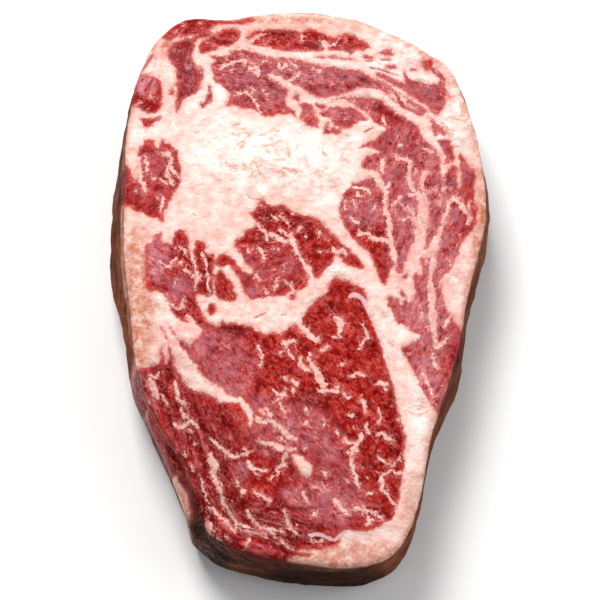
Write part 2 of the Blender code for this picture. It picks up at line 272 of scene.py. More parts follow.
# Threads of fat in the lean, grouped by the muscle they run in: path, then widths along it.
THREADS: dict[str, str] = {
    "back": (
        "-51,66.2 -50.3,65.2 | 0.7; -55.5,62.5 -53.5,63.5 | 0.6; -17.6,85.4 -13.5,87.8 -11.3,88.4 | 1 "
        "0.6; 7.4,86 8.4,84.6 9,82.8 9,81.8 | 1.2 1.8; 9,84.4 11.5,84.5 14.2,87.2 | 1 0.6; 0.3,88.6 "
        "0.5,86 | 0.6; -17.5,85 -18.5,86.5 | 1.2"
    ),
    "blade": (
        "-26.8,75.8 -25,77 -20.3,78.8 -18.4,78.2 | 1.1 0.9; -17.5,76.3 -15.6,75.9 -14,76.9 -13.3,77.8 "
        "-11.2,78.7 | 0.9 0.6; -14.8,76 -14.7,74.2 -13.6,73.8 | 1.4 1.8; -10.8,73.4 -7.5,72.3 -3,69 | "
        "1 2.6; -4.3,79.4 -2,76.8 -0.8,76.3 | 0.5; -0.5,74 -1.2,72.8 -3,71.8 -4.5,71.7 | 0.9 0.6; "
        "-7.3,78 -6.9,76.3 -6,76 -5.3,77 -4.4,77.4 | 1; 6.2,74.8 6.9,74.9 | 1.3; 4.3,76.3 4.6,75.2 | "
        "0.6; 30.5,68 33,63.5 | 0.8; 33.3,66.8 35.3,64.5 36.3,62.8 38.5,61.3 | 1.2; -22,66.3 -18.5,67 "
        "-16,65 -15.5,63.8 -13.5,60.3 | 0.9 0.6; -16.8,68.8 -15.8,68 -16.6,66.5 | 0.8; -12.5,67.8 | "
        "0.9; -10.8,66.5 | 0.9"
    ),
    "cap": (
        "28.2,58 29.2,55.4 | 1.1 0.7; 34,48.2 | 0.9; 27.7,43 27.8,38.3 | 1.7 1.2; 41.5,46.8 43.5,46.2 "
        "45.3,45.3 | 0.8; 32.3,44.5 34,43.4 35.6,43.3 36.8,42 37,40 36.5,38 36.5,35.5 37.5,33.5 "
        "39,31.8 | 1.3 1.8; 39,31.8 40.2,30 41,27.5 41.4,24 40.8,20.5 39,10 | 2 4.6; 36.3,31 38,30.7 "
        "39.5,31 | 1 1.6; 38.8,39.8 38.3,38 | 0.7; 42.6,38.6 41.4,37.2 40.8,35.5 40.8,33 42.2,29.3 "
        "42,27.5 | 1 1.6; 42,32 43,32 | 0.6; 35.5,26.5 37.5,24.5 39,20.5 | 0.8 1.2; 35,22 36.8,22.4 "
        "38.2,22 | 0.5; 31,27 33,29.3 34.2,29.8 | 0.6; 33.5,28 35,25.5 | 0.5; 23.8,38 25.5,36.8 "
        "26.8,34.6 28.2,33 28.9,31 28.5,28.5 28.7,26.5 29.8,20.5 30.4,14.5 31.6,9 31.8,6.5 | 2.2 1.5 "
        "1.8; 30.6,35.2 28.8,32.6 | 1.2; 19.5,16.8 21,17 23,16.6 24,15.6 28,14.7 30.3,14.1 | 1.8 1.4; "
        "18,33.4 21,33 23.2,31.9 | 0.9; 19.3,32 19.8,30.3 21,30.2 | 0.9; 24,25.4 25.6,27.6 | 0.6; "
        "17.3,22.2 18.4,21.2 19.7,20.6 | 1; 15,28.6 15.3,25.6 | 0.5; 17.8,29 18.5,26.5 | 0.5; 48.4,41 "
        "48.4,38.5 48.1,36.8 | 0.9 0.6; 49,33.5 48,32.3 47.8,31.5 | 0.7; 50.3,33 51.2,32 | 0.6; "
        "45.7,33 45.5,31.5 | 0.5; 47,28 47,26.5 | 0.5; 47.6,19.6 49,24.5 50.6,29 | 1.4 1.8; 51.5,29.6 "
        "53,28.6 56,24.6 56.8,22.5 56.3,20.6 | 2 0.9; 51.2,29.2 | 2.2; 56.5,28 57.2,22.5 | 0.5; "
        "47.7,19.6 46.8,18 44.6,11 | 1 3; 44.4,10.5 44.2,7 43.4,3.5 43.2,0 43.6,-3.5 44.6,-21.8 | 2.2 "
        "1.8 2.8; 44.6,-22.4 46.2,-22 48.9,-19 | 1.7 0.9; 43.7,-24 44,-27 | 0.6 0.8; 44.3,-27.5 "
        "44.8,-29 | 2 1.4; 47.3,1.5 46,-2 | 0.6; 47.5,-15 49,-13 50,-11 | 0.9 0.5; 49.5,8 50,5.5 | "
        "0.6; 40.3,-9.5 40.4,-13 | 0.5; 40.2,-30 41.5,-34 42.8,-36 43.5,-39 | 1 0.5"
    ),
    "medallion": (
        "-56.5,46 -55,42 -54,38 -52,32 | 2.5 1.2; -46.5,45.5 -44.5,45 -43.5,43.5 -43.8,41 -43,39.5 "
        "-41,37 | 1.3; -45,41 -44.3,37 -42.5,33.8 | 0.9; -50,36.3 -49,36.3 | 1.5; -47.5,36.5 -44.8,34 "
        "| 0.6; -46.2,30 -46.3,27.5 -46.8,25 | 1.2; -52,44 -51.5,38.5 | 0.9; -55.5,32 -54.7,32 | 0.8; "
        "-48,29.5 -47.3,28.5 | 0.7"
    ),
    "fan": (
        "-46.6,7.3 -43.8,5.3 -41.4,8.3 | 0.7; -40.3,6.3 -39,8 | 0.5; -38.7,4.2 -34,1.8 | 0.5; -35.9,10 "
        "-34.9,4.5 -34.1,2 -34.4,0 -35.2,-1.8 | 0.8 0.6; -33,3 -34,1.5 | 0.5; -32.6,10 -31.3,7 "
        "-30.5,-1 -30,-4 | 0.7 0.5; -41.4,0.2 -42,-1.5 | 0.5; -45,-4.8 -43.3,-8.4 | 0.8; -38.9,-6 "
        "-38.7,-8.5 | 0.8; -43,-8.3 -41,-8.6 -39.5,-9.3 | 0.4; -38,-11.6 -35,-13.8 | 1; -40.5,12.3 "
        "-39.3,12 -38.2,11 -38.6,10 | 0.6; -42,11 -41,12 | 0.3"
    ),
    "upper eye": (
        "-13.8,20 -13.3,18.5 -11.5,17.3 -11,15.5 -10.3,14.5 | 1; -10,17 -8.5,16.3 -7.5,15.3 -6,14.5 "
        "-4.3,14.3 | 1.3; -7,18.5 -5.5,17.5 -4,16 | 1; -3,17 -2.8,15 -2,13.5 -1.3,11.5 1.8,5.6 | 1.7 "
        "1.2; -9.3,23.3 -7.5,21.3 | 0.9; -6,24 -6.3,22.5 -4,20.8 -3.5,19.7 | 0.7; 0.3,19.5 -0.7,18 | "
        "0.8; 6.2,17.3 6.9,17.3 | 1.3; 2,16 | 0.9; 6.7,10.7 | 0.8; -8.8,11.3 | 0.9; -7.2,11.3 | 0.8; "
        "-12.8,26.3 | 0.8; -2.3,24 | 0.6; -17.5,12 -17,10.3 | 0.8; -14,12.5 -12.8,10.5 -12,8.5 | 1.3; "
        "10.5,11.5 12,10.8 14,11 15.2,9.8 | 1.2; -5,6.4 -5.3,4.5 | 0.5; -7.6,1 -8.7,-3.2 | 0.7; -5,0.3 "
        "-2.5,-2 -1.8,-4 | 0.7; -2.6,0.2 -2.6,-1 | 0.5; -14.5,2.5 -13.8,0.5 | 0.6; -11.8,-2 -10.8,-3.8 "
        "| 0.6"
    ),
    "eye": (
        "-0.8,-14.2 0.8,-15.3 3.6,-18.4 5,-19.8 6.4,-18.8 | 1.8 1.4; 11.5,-11.5 12.8,-13 | 0.9 2; "
        "13.2,-12.8 13.4,-15 13,-17 12.9,-19.3 | 2.8 1; 15,-14 13.5,-14.5 | 1 1.5; 10.2,-19 12,-19.2 "
        "13.4,-19 | 0.9; 20.5,-14.5 21.4,-16.2 22.2,-18.6 20.3,-21.4 19.3,-23.3 | 1.1 0.5; -6.2,-20.4 "
        "-4.6,-21.3 -3,-20.6 -1.4,-20.5 | 1.2; -4.5,-21.3 -5.3,-23 -6.6,-24.3 | 1.2 0.8; -3.8,-23 "
        "-3.3,-25 -1.8,-27 | 0.6; 0.3,-25.8 0.3,-28 1.6,-29.6 3.4,-30.2 | 1.1; 2.2,-26 3.6,-27.6 "
        "7,-33.5 7.8,-35.8 | 0.8 3.2; 3,-24.5 3.6,-25.6 | 0.7; 6,-37 11,-37.3 13,-38 | 1.8 1; "
        "11.8,-36.5 12.4,-35.4 | 0.7; 14,-38 15.8,-39.4 | 1.3; 6.5,-23.3 8.2,-23 9,-22 | 1; 13.5,-28.5 "
        "14.3,-28 | 1.2; 16,-32.6 18.3,-31.5 22,-32.3 | 0.9; -5.6,-32.4 -4,-33.6 | 0.8; -3.2,-33.8 "
        "-1.6,-34.5 -0.8,-35.8 | 1.5; -2.4,-35.8 -2.5,-38.6 | 0.8; -9,-36.8 -7.5,-38 -6,-38.6 -5,-37.6 "
        "-4.6,-36.3 | 0.8; -5,-38.6 -8.8,-41 | 0.8; -7,-41.3 -5,-44 | 0.6; 20,-40.3 21.2,-41.6 "
        "21.2,-44.6 | 1.5 1; 16.3,-45.6 17.6,-45.4 | 1.5; 21.4,-48 22,-50 23,-51.6 | 0.8 1.9; "
        "20.4,-51.5 19.5,-53.6 18.4,-54.8 17.9,-56.2 17,-57.6 | 1 2.6; 14.5,-53 15.6,-54.3 17.6,-55 | "
        "1; 15.8,-57.8 18.8,-57.4 | 1.3; 16.7,-58.8 16.8,-61 17.5,-63 17.5,-65 19.3,-69.8 | 1 1.3 0.7; "
        "25.2,-51.9 27,-51.6 28.2,-52.7 30,-53.8 | 1.5 1; 25.4,-58.8 28,-61.5 29.6,-62 | 1.2 0.5; "
        "30.4,-63.4 31.4,-64.8 33.4,-65 | 0.7; 30,-62.2 31.6,-61 33,-59 | 0.5; 26.4,-65.4 28.6,-64.6 "
        "30.3,-63.4 | 0.6; 26.2,-66 26.8,-68 26.6,-70 28,-71 29.6,-74 31.2,-75.6 | 1.2 0.7; 22,-71.8 "
        "23.6,-71.8 | 1.2; 25.6,-42.8 26.2,-45 26,-48 | 0.6; 25.4,-34.9 27.3,-34.3 28.8,-35 | 1.6; "
        "27.8,-36 28.6,-37 | 1; 32.2,-46.7 | 0.8; 22,-66.5 | 0.9; 18,-76.4 20.5,-77.2 24,-78 27,-79.8 "
        "| 1.3 0.9; 20.8,-75.6 21.2,-77.4 22.2,-79.2 22.4,-80.8 21.5,-82.2 | 1 1.2; 22.6,-79.6 "
        "23.8,-80.6 | 0.6; 10.6,-74 12.3,-74.6 14,-77 15.6,-78.4 | 2 0.7; 0.3,-70.8 2.8,-75 | 1.1 0.7; "
        "4,-78.6 5.6,-78.1 | 1.2; 7.2,-64.5 8.6,-65.6 | 0.8; 2.5,-56 1.4,-57.2 | 0.7; 2,-43 2.4,-44.2 "
        "| 1; 1.2,-48.6 2.8,-47.2 | 0.9; 7.4,-46.5 8,-49 | 0.5; 12,-50.5 12.6,-52.5 | 0.5; 15,-66.8 "
        "15.6,-67.6 | 0.8; 7,-68.5 8.4,-69.8 | 0.7; 4,-69 5.4,-69.8 | 0.7; -14.5,-22 -13,-24 -12.5,-28 "
        "-13.5,-29.5 | 0.6"
    ),
    "chain": (
        "-15,-45.6 -13.6,-47 -11,-47.6 -9,-47.4 -7.4,-49 -4.4,-52 -1,-53.6 | 1.1 2; -11,-43.4 -9,-47 | "
        "1.1; -13,-44 -11.4,-45.6 | 0.7; -13.2,-53.8 -9,-55.2 -7,-56.3 -5,-57 | 1.4 2; -5,-57 "
        "-1.4,-56.8 | 1; -4.6,-57.5 -5.2,-60.6 -5,-61.8 -6.8,-62.8 -7.8,-64 -6.8,-65 -10,-67 | 1 0.7; "
        "-6.8,-53 -5.6,-53.5 | 0.9"
    ),
    "flap": (
        "-49.6,-32.6 -47,-39.5 | 1.8 2.2; -49.8,-31.8 -47.6,-32.2 -46.4,-30.6 | 0.9; -41,-33.5 "
        "-40.3,-37 -39.6,-39.8 -38.2,-41 | 0.9 1.4; -45.6,-38 -43.5,-42 | 0.5; -39,-43 -38.2,-45 "
        "-33.4,-49.2 | 0.8 1.2; -41.6,-48 -39.6,-48.7 -37.6,-48.3 -36,-47 | 1.2 0.8; -37,-50.3 -35,-51 "
        "| 0.8; -34.6,-54 -34,-55.2 | 0.6; -38,-57 -37,-59 | 0.6; -36,-61 -34.6,-63.6 | 0.6; "
        "-29.1,-57.3 -28.8,-60 -28.2,-62.5 -28.2,-65 -26,-71 -24.2,-76 -22.6,-78 -20.2,-82.4 | 0.8 3.4 "
        "2 0.8 0.7 0.5; -26.6,-66.8 -25.4,-69 | 0.8; -29.6,-53 -25,-57 -22.4,-58.9 -19,-58.6 -17.3,-58 "
        "-18.5,-56.4 | 1; -33,-65.5 -29.5,-75 | 0.7; -30,-75.5 -28,-77 -26,-79.2 -25,-80 -23.8,-81.8 | "
        "1 0.8; -17.2,-60.8 -16,-63 -14.5,-63.6 -10.4,-64 | 1.3 0.5; -15,-64 -13.4,-66 | 0.6; "
        "-21,-66.8 -20,-69 | 0.6; -19.2,-70.6 -18.2,-71.6 | 1.5; -24,-79.6 -21,-84.6 | 0.6; -17.2,-77 "
        "-15,-80.5 -11,-83.3 -7.8,-84.8 | 1.4 0.7; -11,-82.9 -8,-83.5 -5.4,-84.8 | 0.7; -19.2,-83.4 "
        "-16,-84 -13.5,-84.3 -10.4,-86.1 | 0.8; -19,-81.4 -17,-82.5 | 0.8; -5,-77 -4,-81 -3,-83 "
        "-1.5,-84.6 -0.1,-85.4 | 1 0.7; -1,-81.5 -1.3,-83 | 0.5; -8,-86 -2,-90.6 | 0.7; -16.2,-86 "
        "-18,-89.6 | 0.6; -24.2,-85.5 -23.4,-86.8 | 0.9; -25.2,-80.8 -23.8,-82.2 | 0.8; -29.2,-84.5 "
        "-25.8,-86.6 | 1; -14.6,-71.4 -11,-73 -10,-74.6 | 0.8; -30.8,-80.6 -28.6,-83.4 | 2.2; "
        "-33,-83.8 -30.8,-83.8 | 1; -50.4,-41 | 2.6; 3,-86.5 4.5,-87.5 7,-87 | 0.5"
    ),
}

# Fat islands inside a muscle, standing a little proud of it.
PADS: tuple[str, ...] = (
    "-2.8,-58.8 -1,-58.7 1,-60 3,-61.5 3.8,-63 3.5,-65 2.5,-66.2 1,-66 0,-65 -0.8,-63 -1.8,-61",
    "-43,-62 -39.5,-62.5 -36.6,-67 -35.6,-72 -33.8,-78 -33,-82.5 -34.5,-84.5 -37,-84.5 -41,-78 -43.5,-70",
)

# Thin lines of another tissue: what it is, then its path and the widths along it.
LINES: dict[Line, str] = {
    Line.STRAND: (
        "-14,51.5 -11.5,52 -8,54.5 | 1.3; -13,46.5 -6,49.7 | 0.9; -17,39.8 -15.5,42.3 -13.5,38.5 "
        "-11,35.5 | 0.7; -12,41.8 -10.5,41 -8,40.7 | 0.4; -9,42.5 -4,43 | 1.2; -7.8,38.3 -6,38.7 "
        "-4.3,37.5 | 0.7; 1.8,43.5 2.7,40 | 0.7; -0.5,39 1,38.5 | 0.8; 6,38 6.8,37 | 0.8; 10,37 "
        "12.5,39.3 | 0.7; 7,34 7.3,31.8 | 1.6; 3.5,36 4.2,34 | 1; -6.5,31.5 -6.3,29.8 -4,29.3 "
        "-2.5,28.8 | 0.8; -34.5,34 -31.5,34.3 | 1; -22,46.5 | 0.9; -35,44.5 | 0.9; -28,35 | 0.8; "
        "-16.3,39.7 | 0.8; 54.3,64 54.5,62 55.5,60.3 56.8,59.5 | 1.3; 59.3,49 60.3,44.5 | 1.3; 33,-79 "
        "| 1.8; -38.5,-71 -37.5,-75 -34,-82 | 2.4 3.2 1.4"
    ),
    Line.BROWN: (
        "-17.8,31 -16.5,29.3 -12,28.7 | 0.4; -15.2,-12.4 -10.8,-10.2 | 0.8; -36,24 -34.5,23 | 0.5; "
        "-45,87.3 -44,87.8 | 0.8; -57,47.8 -55.5,46.8 | 0.4; -6.4,-11.3 -4.8,-11.1 | 0.6"
    ),
    Line.SILVER: (
        "2.6,-85 3.6,-85.4 5,-85 7,-85.3 11,-86.8 13.4,-85 15,-84.2 18,-84.6 22,-84.8 24,-84.4 "
        "30,-81.6 | 1.6 0.8; 16.3,-5 17.5,-4.3 19,-4.6 21,-6 23,-10 24,-13 | 1.8; 24,-13 28,-23 30,-30 "
        "32,-36 33,-42 | 1; -24,60 -22,60 -20,58.8 -17,59 | 0.6; -8,57 -5,56.8 -3,56 -2,56 | 0.5; "
        "0,55.5 2,54.8 3.5,55 | 0.5; 12.5,50.8 14,51 16,52.3 | 0.5; 9.5,50 10,51 | 0.4; 51,64.5 "
        "51.3,62.5 50.3,60.5 49.7,58.8 | 0.6; 50.8,57.8 52.2,57.6 | 0.8; -37.2,62.5 | 0.9"
    ),
    Line.LEAN: (
        "27,79.4 31.3,78.8 | 1.1; 22,78.6 24.8,78.6 | 0.8; 23.5,76.3 27,75.6 33.5,73.2 | 0.9; "
        "21.3,52.8 25,54.6 | 0.9; -53.5,75 -50,81 | 1.2; 6.6,47.4 | 0.7; -15,37 | 0.8; 29.6,58 29.3,45 "
        "| 0.6"
    ),
}

# Folds pressed into the skin: path, width and depth in millimetres.
CREASES: tuple[tuple[str, float, float], ...] = (
    ("29.6,58 29.6,52 29.3,45", 1.0, 0.35),
    ("-42,-55 -40,-60 -38.5,-63 -36.5,-67 -34.5,-70 -32.5,-73 -31,-77 -30.5,-80", 2.0, 0.9),
    ("-15.2,-12.4 -13,-11.4 -10.8,-10.2", 0.9, 0.22),
    ("-17.8,31 -16.5,29.3 -14.5,28.8 -12,28.7", 0.8, 0.2),
    ("24,-13 26,-18 28,-23 30,-30 32,-36 33,-42", 1.2, 0.35),
    ("-14.5,-22 -13,-24 -12.5,-26.5 -12.5,-28 -13.5,-29.5", 1.0, -0.3),
)

# Blots of another colour, as centre x,y and half sizes in plan millimetres.
BLOTS: dict[Tint, str] = {
    # Painted sheen on the wet face, partly the meat's own purplish tone.
    Tint.PAINTED_SHEEN: (
        "-52.5,71,2.5,2 -47.5,8,4,8 -48,14,2.5,2.5 -41,-2,5,4 -15,-3.5,3,2 "
        "22,27.5,4,3 24,23,4,3 34,24,3,6 33,14,2,3 38,-11,4.5,3.5 31.5,-8,1.5,3 44,-31,3,4 45,-36,2.5,3 "
        "7,70,7,3 13,59,5,2.5 2.5,58.5,2.5,2 -10,63.5,4,3 -26,73,4,3 20.5,63.5,4,1.5 23,59,3,1.5 "
        "35,52,4,5 44,43,3,4 23.5,42,2.5,2 31,76.3,2.5,1.3 29,81.5,3,1.5 23,87.5,2,1.7 56,39,1.8,4 "
        "52.5,22.5,2.5,3 -38,78,1.5,3 -21,-36,5,3 -12,-42,5,3 -3,-48,5,4 2,-53,5,3 9,-56,5,6 18,-72,3,3 "
        "-3,-72,3,3 12,-80,4,3 -33,-22,3,3 -29,-20,3,3 -26,-33,4,3 -53,-34,1.2,4 -19,-65,2,4 "
        "-34.5,-26,2.5,3"
    ),
    # Darker meat; the blots from -39,-59 to -30.5,-80 are painted shade along the flap's crease.
    Tint.DARK_AND_SHADE: (
        "22.5,21.3,3,1.3 20.5,19,1.5,0.8 -55.5,66.5,1.5,1.5 -37,79,1.5,3 -20,75,4,2.5 20,72,4,2 "
        "24,70,3,1.5 -5,88.5,6,1.5 5,85,3,2 -11,23,3,3 -7,25.5,4,1.5 0,20,4,3 5,-39.5,6,2.5 "
        "-3,-62.5,1.5,3 -14,-56,3,1.5 -20,-72,3,3 -12,-78,3,2.5 -6,-83,2,3 -47,-29,3,1 -43,-30,1.5,6 "
        "-24,-43.5,2,1.2 29,-28,1.5,4 30,-40,2.5,6 31,-55,2.5,6 23,-62,3,3 -22,-16.5,6,2 20,-12,2,5 "
        "11,-8,3,2 37,50,2,1.5 32,40,2,2 52,35,2,2 42,48.5,3,1 -48.5,26,1,2 -41,-41,3,2 -19,-65,2,4 "
        "-36,94,5,1.5 -39,-59,1,3 -36.5,-66,1.2,4 -33.5,-73,1.2,4 -30.5,-80,1,3 -24,-62,1,4 -22,-75,1,4 -13,15,3,3 -8,66,4,3"
    ),
    Tint.GLOW: (
        "-29.5,91.7,3,0.9 -18.5,91.9,2.5,1 -22,91.3,1.5,0.6 -52.8,74.3,1.2,0.8 -51.5,49.2,2.5,1 "
        "-46,48.5,1.2,1.2 -25.5,8.8,2.8,1.8 -23,6.5,2,2 -8,18.5,2,1 -4,18,1.2,0.8 -0.5,-2,2,1.5 "
        "-2.5,-4.8,1.2,1 33.8,64.3,1,2 43.8,77.3,1.3,1.8 51.5,19.2,1.8,1 15,-9.5,2,1 21.5,-13,1.5,4 "
        "-14.5,-26.5,1.7,4.5 -22,-43,3.5,2.5 -19.5,-47.5,2,2.5 -29.5,-40.5,3.5,1.2 -42.3,-36,1,3.5 "
        "-33.5,13.2,1,0.8 2,-92,1.5,0.8 10,-87.8,2.5,0.8 -50.5,-1,1.5,2 -39.5,-68,1,2.5 -45,-48,1,5 -36,-58,1.2,4 -26,-79,1,4 -15,-87,5,1"
    ),
    # Whiter fat; the blots at -49.3,70.5, -7,76.8, -47,-8, 36,83 and 53,60 are painted highlights.
    Tint.WHITE_AND_HIGHLIGHT: (
        "-49.3,70.5,1.1,2 -26.7,64.8,2,4 36,83,3,3 41.5,72.7,4,1 -22,42.5,3,2 -12.5,33.5,3,2.5 "
        "-8.5,46,3,2 10,41.5,4,3 -17.5,55,3,2 17,51,3,2 -56.3,52,1.3,2.3 53,60,2.5,4 -47,-8,1.5,3 "
        "50.5,1,2,1 53,-6,2,1.5 39,-46,3,8 12,4.5,3,1.5 -33,39,4,3 -7,76.8,1.2,1.2"
    ),
    Tint.ORANGE: (
        "61.5,20,2.2,17 -56,8,2.4,9 -57,-5,3,9 -55,-18,3.5,8 -54,-26,3,4 -5,93.5,16,1.6 30,-94,5,2.2 "
        "15,-95,12,1.8 -46,83.5,2,2.5 42.5,82,2.5,2 55.3,61.8,1.2,2.4 59.8,46.7,1,2.6 33,-79,1,1.5 -38.5,-73,4,10"
    ),
    Tint.STAIN: "43,78,3.5,1.6 50.5,66,1.2,3 37,84,1.5,1 -45,84,2,3 -50,79,1.5,3",
    Tint.STRINGY: "-24,-45,5,5",
    Tint.FRESH: "-49,-52,7,14 -38.5,-73,4.5,11",
}

# Wide soft washes of the same tints: centre, half sizes and strength.
WASHES: dict[Tint, str] = {
    # Painted sheen on the wet face, partly the meat's own purplish tone.
    Tint.PAINTED_SHEEN: (
        "43,12,13,42,0.62 6,72,44,11,0.5 -10,5,12,7,0.3 -52.5,70,4,4,0.9 -47.5,8,4,8,0.9 -48,14,3,3,0.8 44,62,9,14,0.5 "
        "38,-14,7,9,0.8 42,-32,6,13,0.75 -22,-30,9,6,0.55 10,-74,11,7,0.55 15,60,9,4,0.7 20,25,6,6,0.65 2,72,8,4,0.7 -50,38,9,11,0.25 -28,-24,11,7,0.4 "
        "6,58,14,6,0.5 -4,-50,14,10,0.35 -40,75,6,14,0.15 8,-66,10,14,0.25 28,42,10,14,0.45"
    ),
    # Darker meat; painted shade on the front side (4,-98.5) and in the front-left hollow (-29,-91).
    Tint.DARK_AND_SHADE: "4,-98.5,52,7,0.95 49,-58,6,14,0.6 -29,-91,7,6,0.95 -32,-60,16,30,0.58 -46,-36,8,10,0.4 -10,-80,20,9,0.4 -2,25,16,10,0.28 6,71,40,9,0.45 -40,76,7,12,0.55 -36,2,12,14,0.4 40,20,14,40,0.15 -26,-78,8,7,0.75 27,-45,7,30,0.2",
    Tint.GLOW: "22,-30,8,34,0.25 8,-20,14,10,0.2",
    Tint.WHITE_AND_HIGHLIGHT: (
        "-10,45,30,11,0.9 -24,50,14,9,0.7 12,34,10,9,0.6 38,80,16,9,0.8 -44,-4,7,12,0.35 40,-30,5,20,0.4 "
        "52,58,9,14,0.85 30,62,14,8,0.5 -30,62,8,10,0.6 -4,76,30,6,0.35 30,-14,8,12,0.5 -52,54,6,7,0.4 36,-62,5,16,0.3"
    ),
    Tint.ORANGE: "60,14,3,7,0.9 -54,-8,6,30,0.95 18,-92,24,5,0.8 40,-78,7,16,0.6 60,22,4,22,0.5 0,91,34,3,0.35",
    Tint.STAIN: (
        "43,77,7,4,0.8 51,67,4,7,0.65 34,84,8,3,0.35 45,20,14,45,0.35 58,46,4,16,0.35 -50,84,7,10,0.35 "
        "-52,66,6,8,0.3 30,66,18,8,0.4 -6,86,30,4,0.3 -40,-22,10,8,0.4"
    ),
    Tint.FRESH: "-46,-56,13,28,0.9 -53,-38,7,11,0.7",
    Tint.STRINGY: (
        "-36,-60,15,34,1 -14,-82,24,10,1 -46,-34,9,12,0.9 -38,-24,9,6,0.8 -3,-52,15,9,0.5 -39,78,7,12,0.5 "
        "-26,86,8,4,0.6 12,-66,12,12,0.35 20,-80,14,6,0.5 42,70,9,8,0.5"
    ),
}

# Smooth swellings of the face in millimetres: centre, half sizes and height.
FLOW = "-66,-2 -60,-20 -54,-35 -47,-51 -39,-69 -29,-83 -12,-90 8,-94 34,-95"
SWELLS = "0.5,-62.5,3.2,3.8,0.7 -10,44,12,8,0.35 8,38,8,6,0.3 -28,42,9,7,0.3 -26.7,64.8,2.2,4,0.45 12,5,5,2.5,0.3"


def numbers(text: str) -> Points:
    """Reads a run of comma-joined figures.

    Args:
        text: Groups of figures parted by spaces, each group joined by commas.

    Returns:
        One row for each group.
    """
    return np.array([[float(value) for value in group.split(",")] for group in text.split()])


def smooth(value: np.ndarray, low: float, high: float) -> np.ndarray:
    """Rises softly from 0 at low to 1 at high."""
    t = np.clip((value - low) / (high - low), 0.0, 1.0)
    return t * t * (3.0 - 2.0 * t)


def spline(points: Points, closed: bool, steps: int) -> Points:
    """Runs a smooth curve through points.

    Args:
        points: The points, one row each, of any number of columns.
        closed: True for an outline that comes back to its start.
        steps: How many stretches each span is cut into.

    Returns:
        The curve's points, with the last one kept on an open curve.
    """
    count = len(points)
    if count < 2:
        return points
    spans = count if closed else count - 1
    place = np.arange(count + 3) - 1
    place = place % count if closed else np.clip(place, 0, count - 1)
    run = points[place]
    t = (np.arange(steps) / steps)[None, :, None]
    before, start, end, after = (run[k : k + spans, None] for k in range(4))
    curve = 0.5 * (
        2.0 * start
        + (end - before) * t
        + (2.0 * before - 5.0 * start + 4.0 * end - after) * t**2
        + (3.0 * start - before - 3.0 * end + after) * t**3
    )
    curve = curve.reshape(-1, points.shape[1])
    return curve if closed else np.vstack([curve, points[-1:]])


def lumps(points: Points, size: float, seed: int) -> np.ndarray:
    """Smooth random lumps in space.

    Args:
        points: Places in millimetres, three columns.
        size: The lumps' size in millimetres.
        seed: Which pattern.

    Returns:
        A value from -1 to 1 for each place.
    """
    scaled = points / size + seed * 17.31
    cell = np.floor(scaled).astype(np.int64)
    part = scaled - cell
    part = part * part * (3.0 - 2.0 * part)
    total = np.zeros(len(points))
    for corner in np.ndindex(2, 2, 2):
        at = cell + np.array(corner)
        mixed = at[:, 0] * 73856093 ^ at[:, 1] * 19349663 ^ at[:, 2] * 83492791 ^ seed * 2654435
        mixed = (mixed ^ (mixed >> 13)) * 1274126177
        draw = ((mixed ^ (mixed >> 16)) & 0xFFFF) / 32767.5 - 1.0
        share = np.prod(np.where(np.array(corner) == 1, part, 1.0 - part), axis=1)
        total += draw * share
    return total


def to_segments(points: Points, start: Points, end: Points) -> tuple[np.ndarray, np.ndarray, np.ndarray]:
    """Measures points against straight segments.

    Args:
        points: Plan places, two columns.
        start: Where each segment starts.
        end: Where each segment ends.

    Returns:
        For each point and segment: the distance, how far along the nearest place is, and the
        signed distance to the segment's line.
    """
    along = end - start
    length = np.maximum((along**2).sum(1), 1e-9)
    reach = points[:, None] - start[None]
    share = np.clip((reach * along[None]).sum(2) / length, 0.0, 1.0)
    gap = reach - share[..., None] * along[None]
    signed = (reach[..., 0] * along[:, 1] - reach[..., 1] * along[:, 0]) / np.sqrt(length)
    return np.sqrt((gap**2).sum(2)), share, signed


def depth_inside(points: Points, outline: Points, reach: float) -> np.ndarray:
    """Signed distance from an outline, positive inside, no further out than reach."""
    depth = np.full(len(points), -reach)
    near = ((points > outline.min(0) - reach) & (points < outline.max(0) + reach)).all(1)
    chosen = np.flatnonzero(near)
    after = np.roll(outline, -1, axis=0)
    for part in np.array_split(chosen, max(1, len(chosen) * len(outline) // 4_000_000 + 1)):
        spot = points[part]
        distance = to_segments(spot, outline, after)[0].min(1)
        above = (outline[:, 1][None] > spot[:, 1:2]) != (after[:, 1][None] > spot[:, 1:2])
        rise = np.where(after[:, 1] == outline[:, 1], 1e-9, after[:, 1] - outline[:, 1])
        cross = outline[:, 0] + (spot[:, 1:2] - outline[:, 1]) * (after[:, 0] - outline[:, 0]) / rise
        inside = (above & (spot[:, :1] < cross)).sum(1) % 2 == 1
        depth[part] = np.maximum(np.where(inside, distance, -distance), -reach)
    return depth


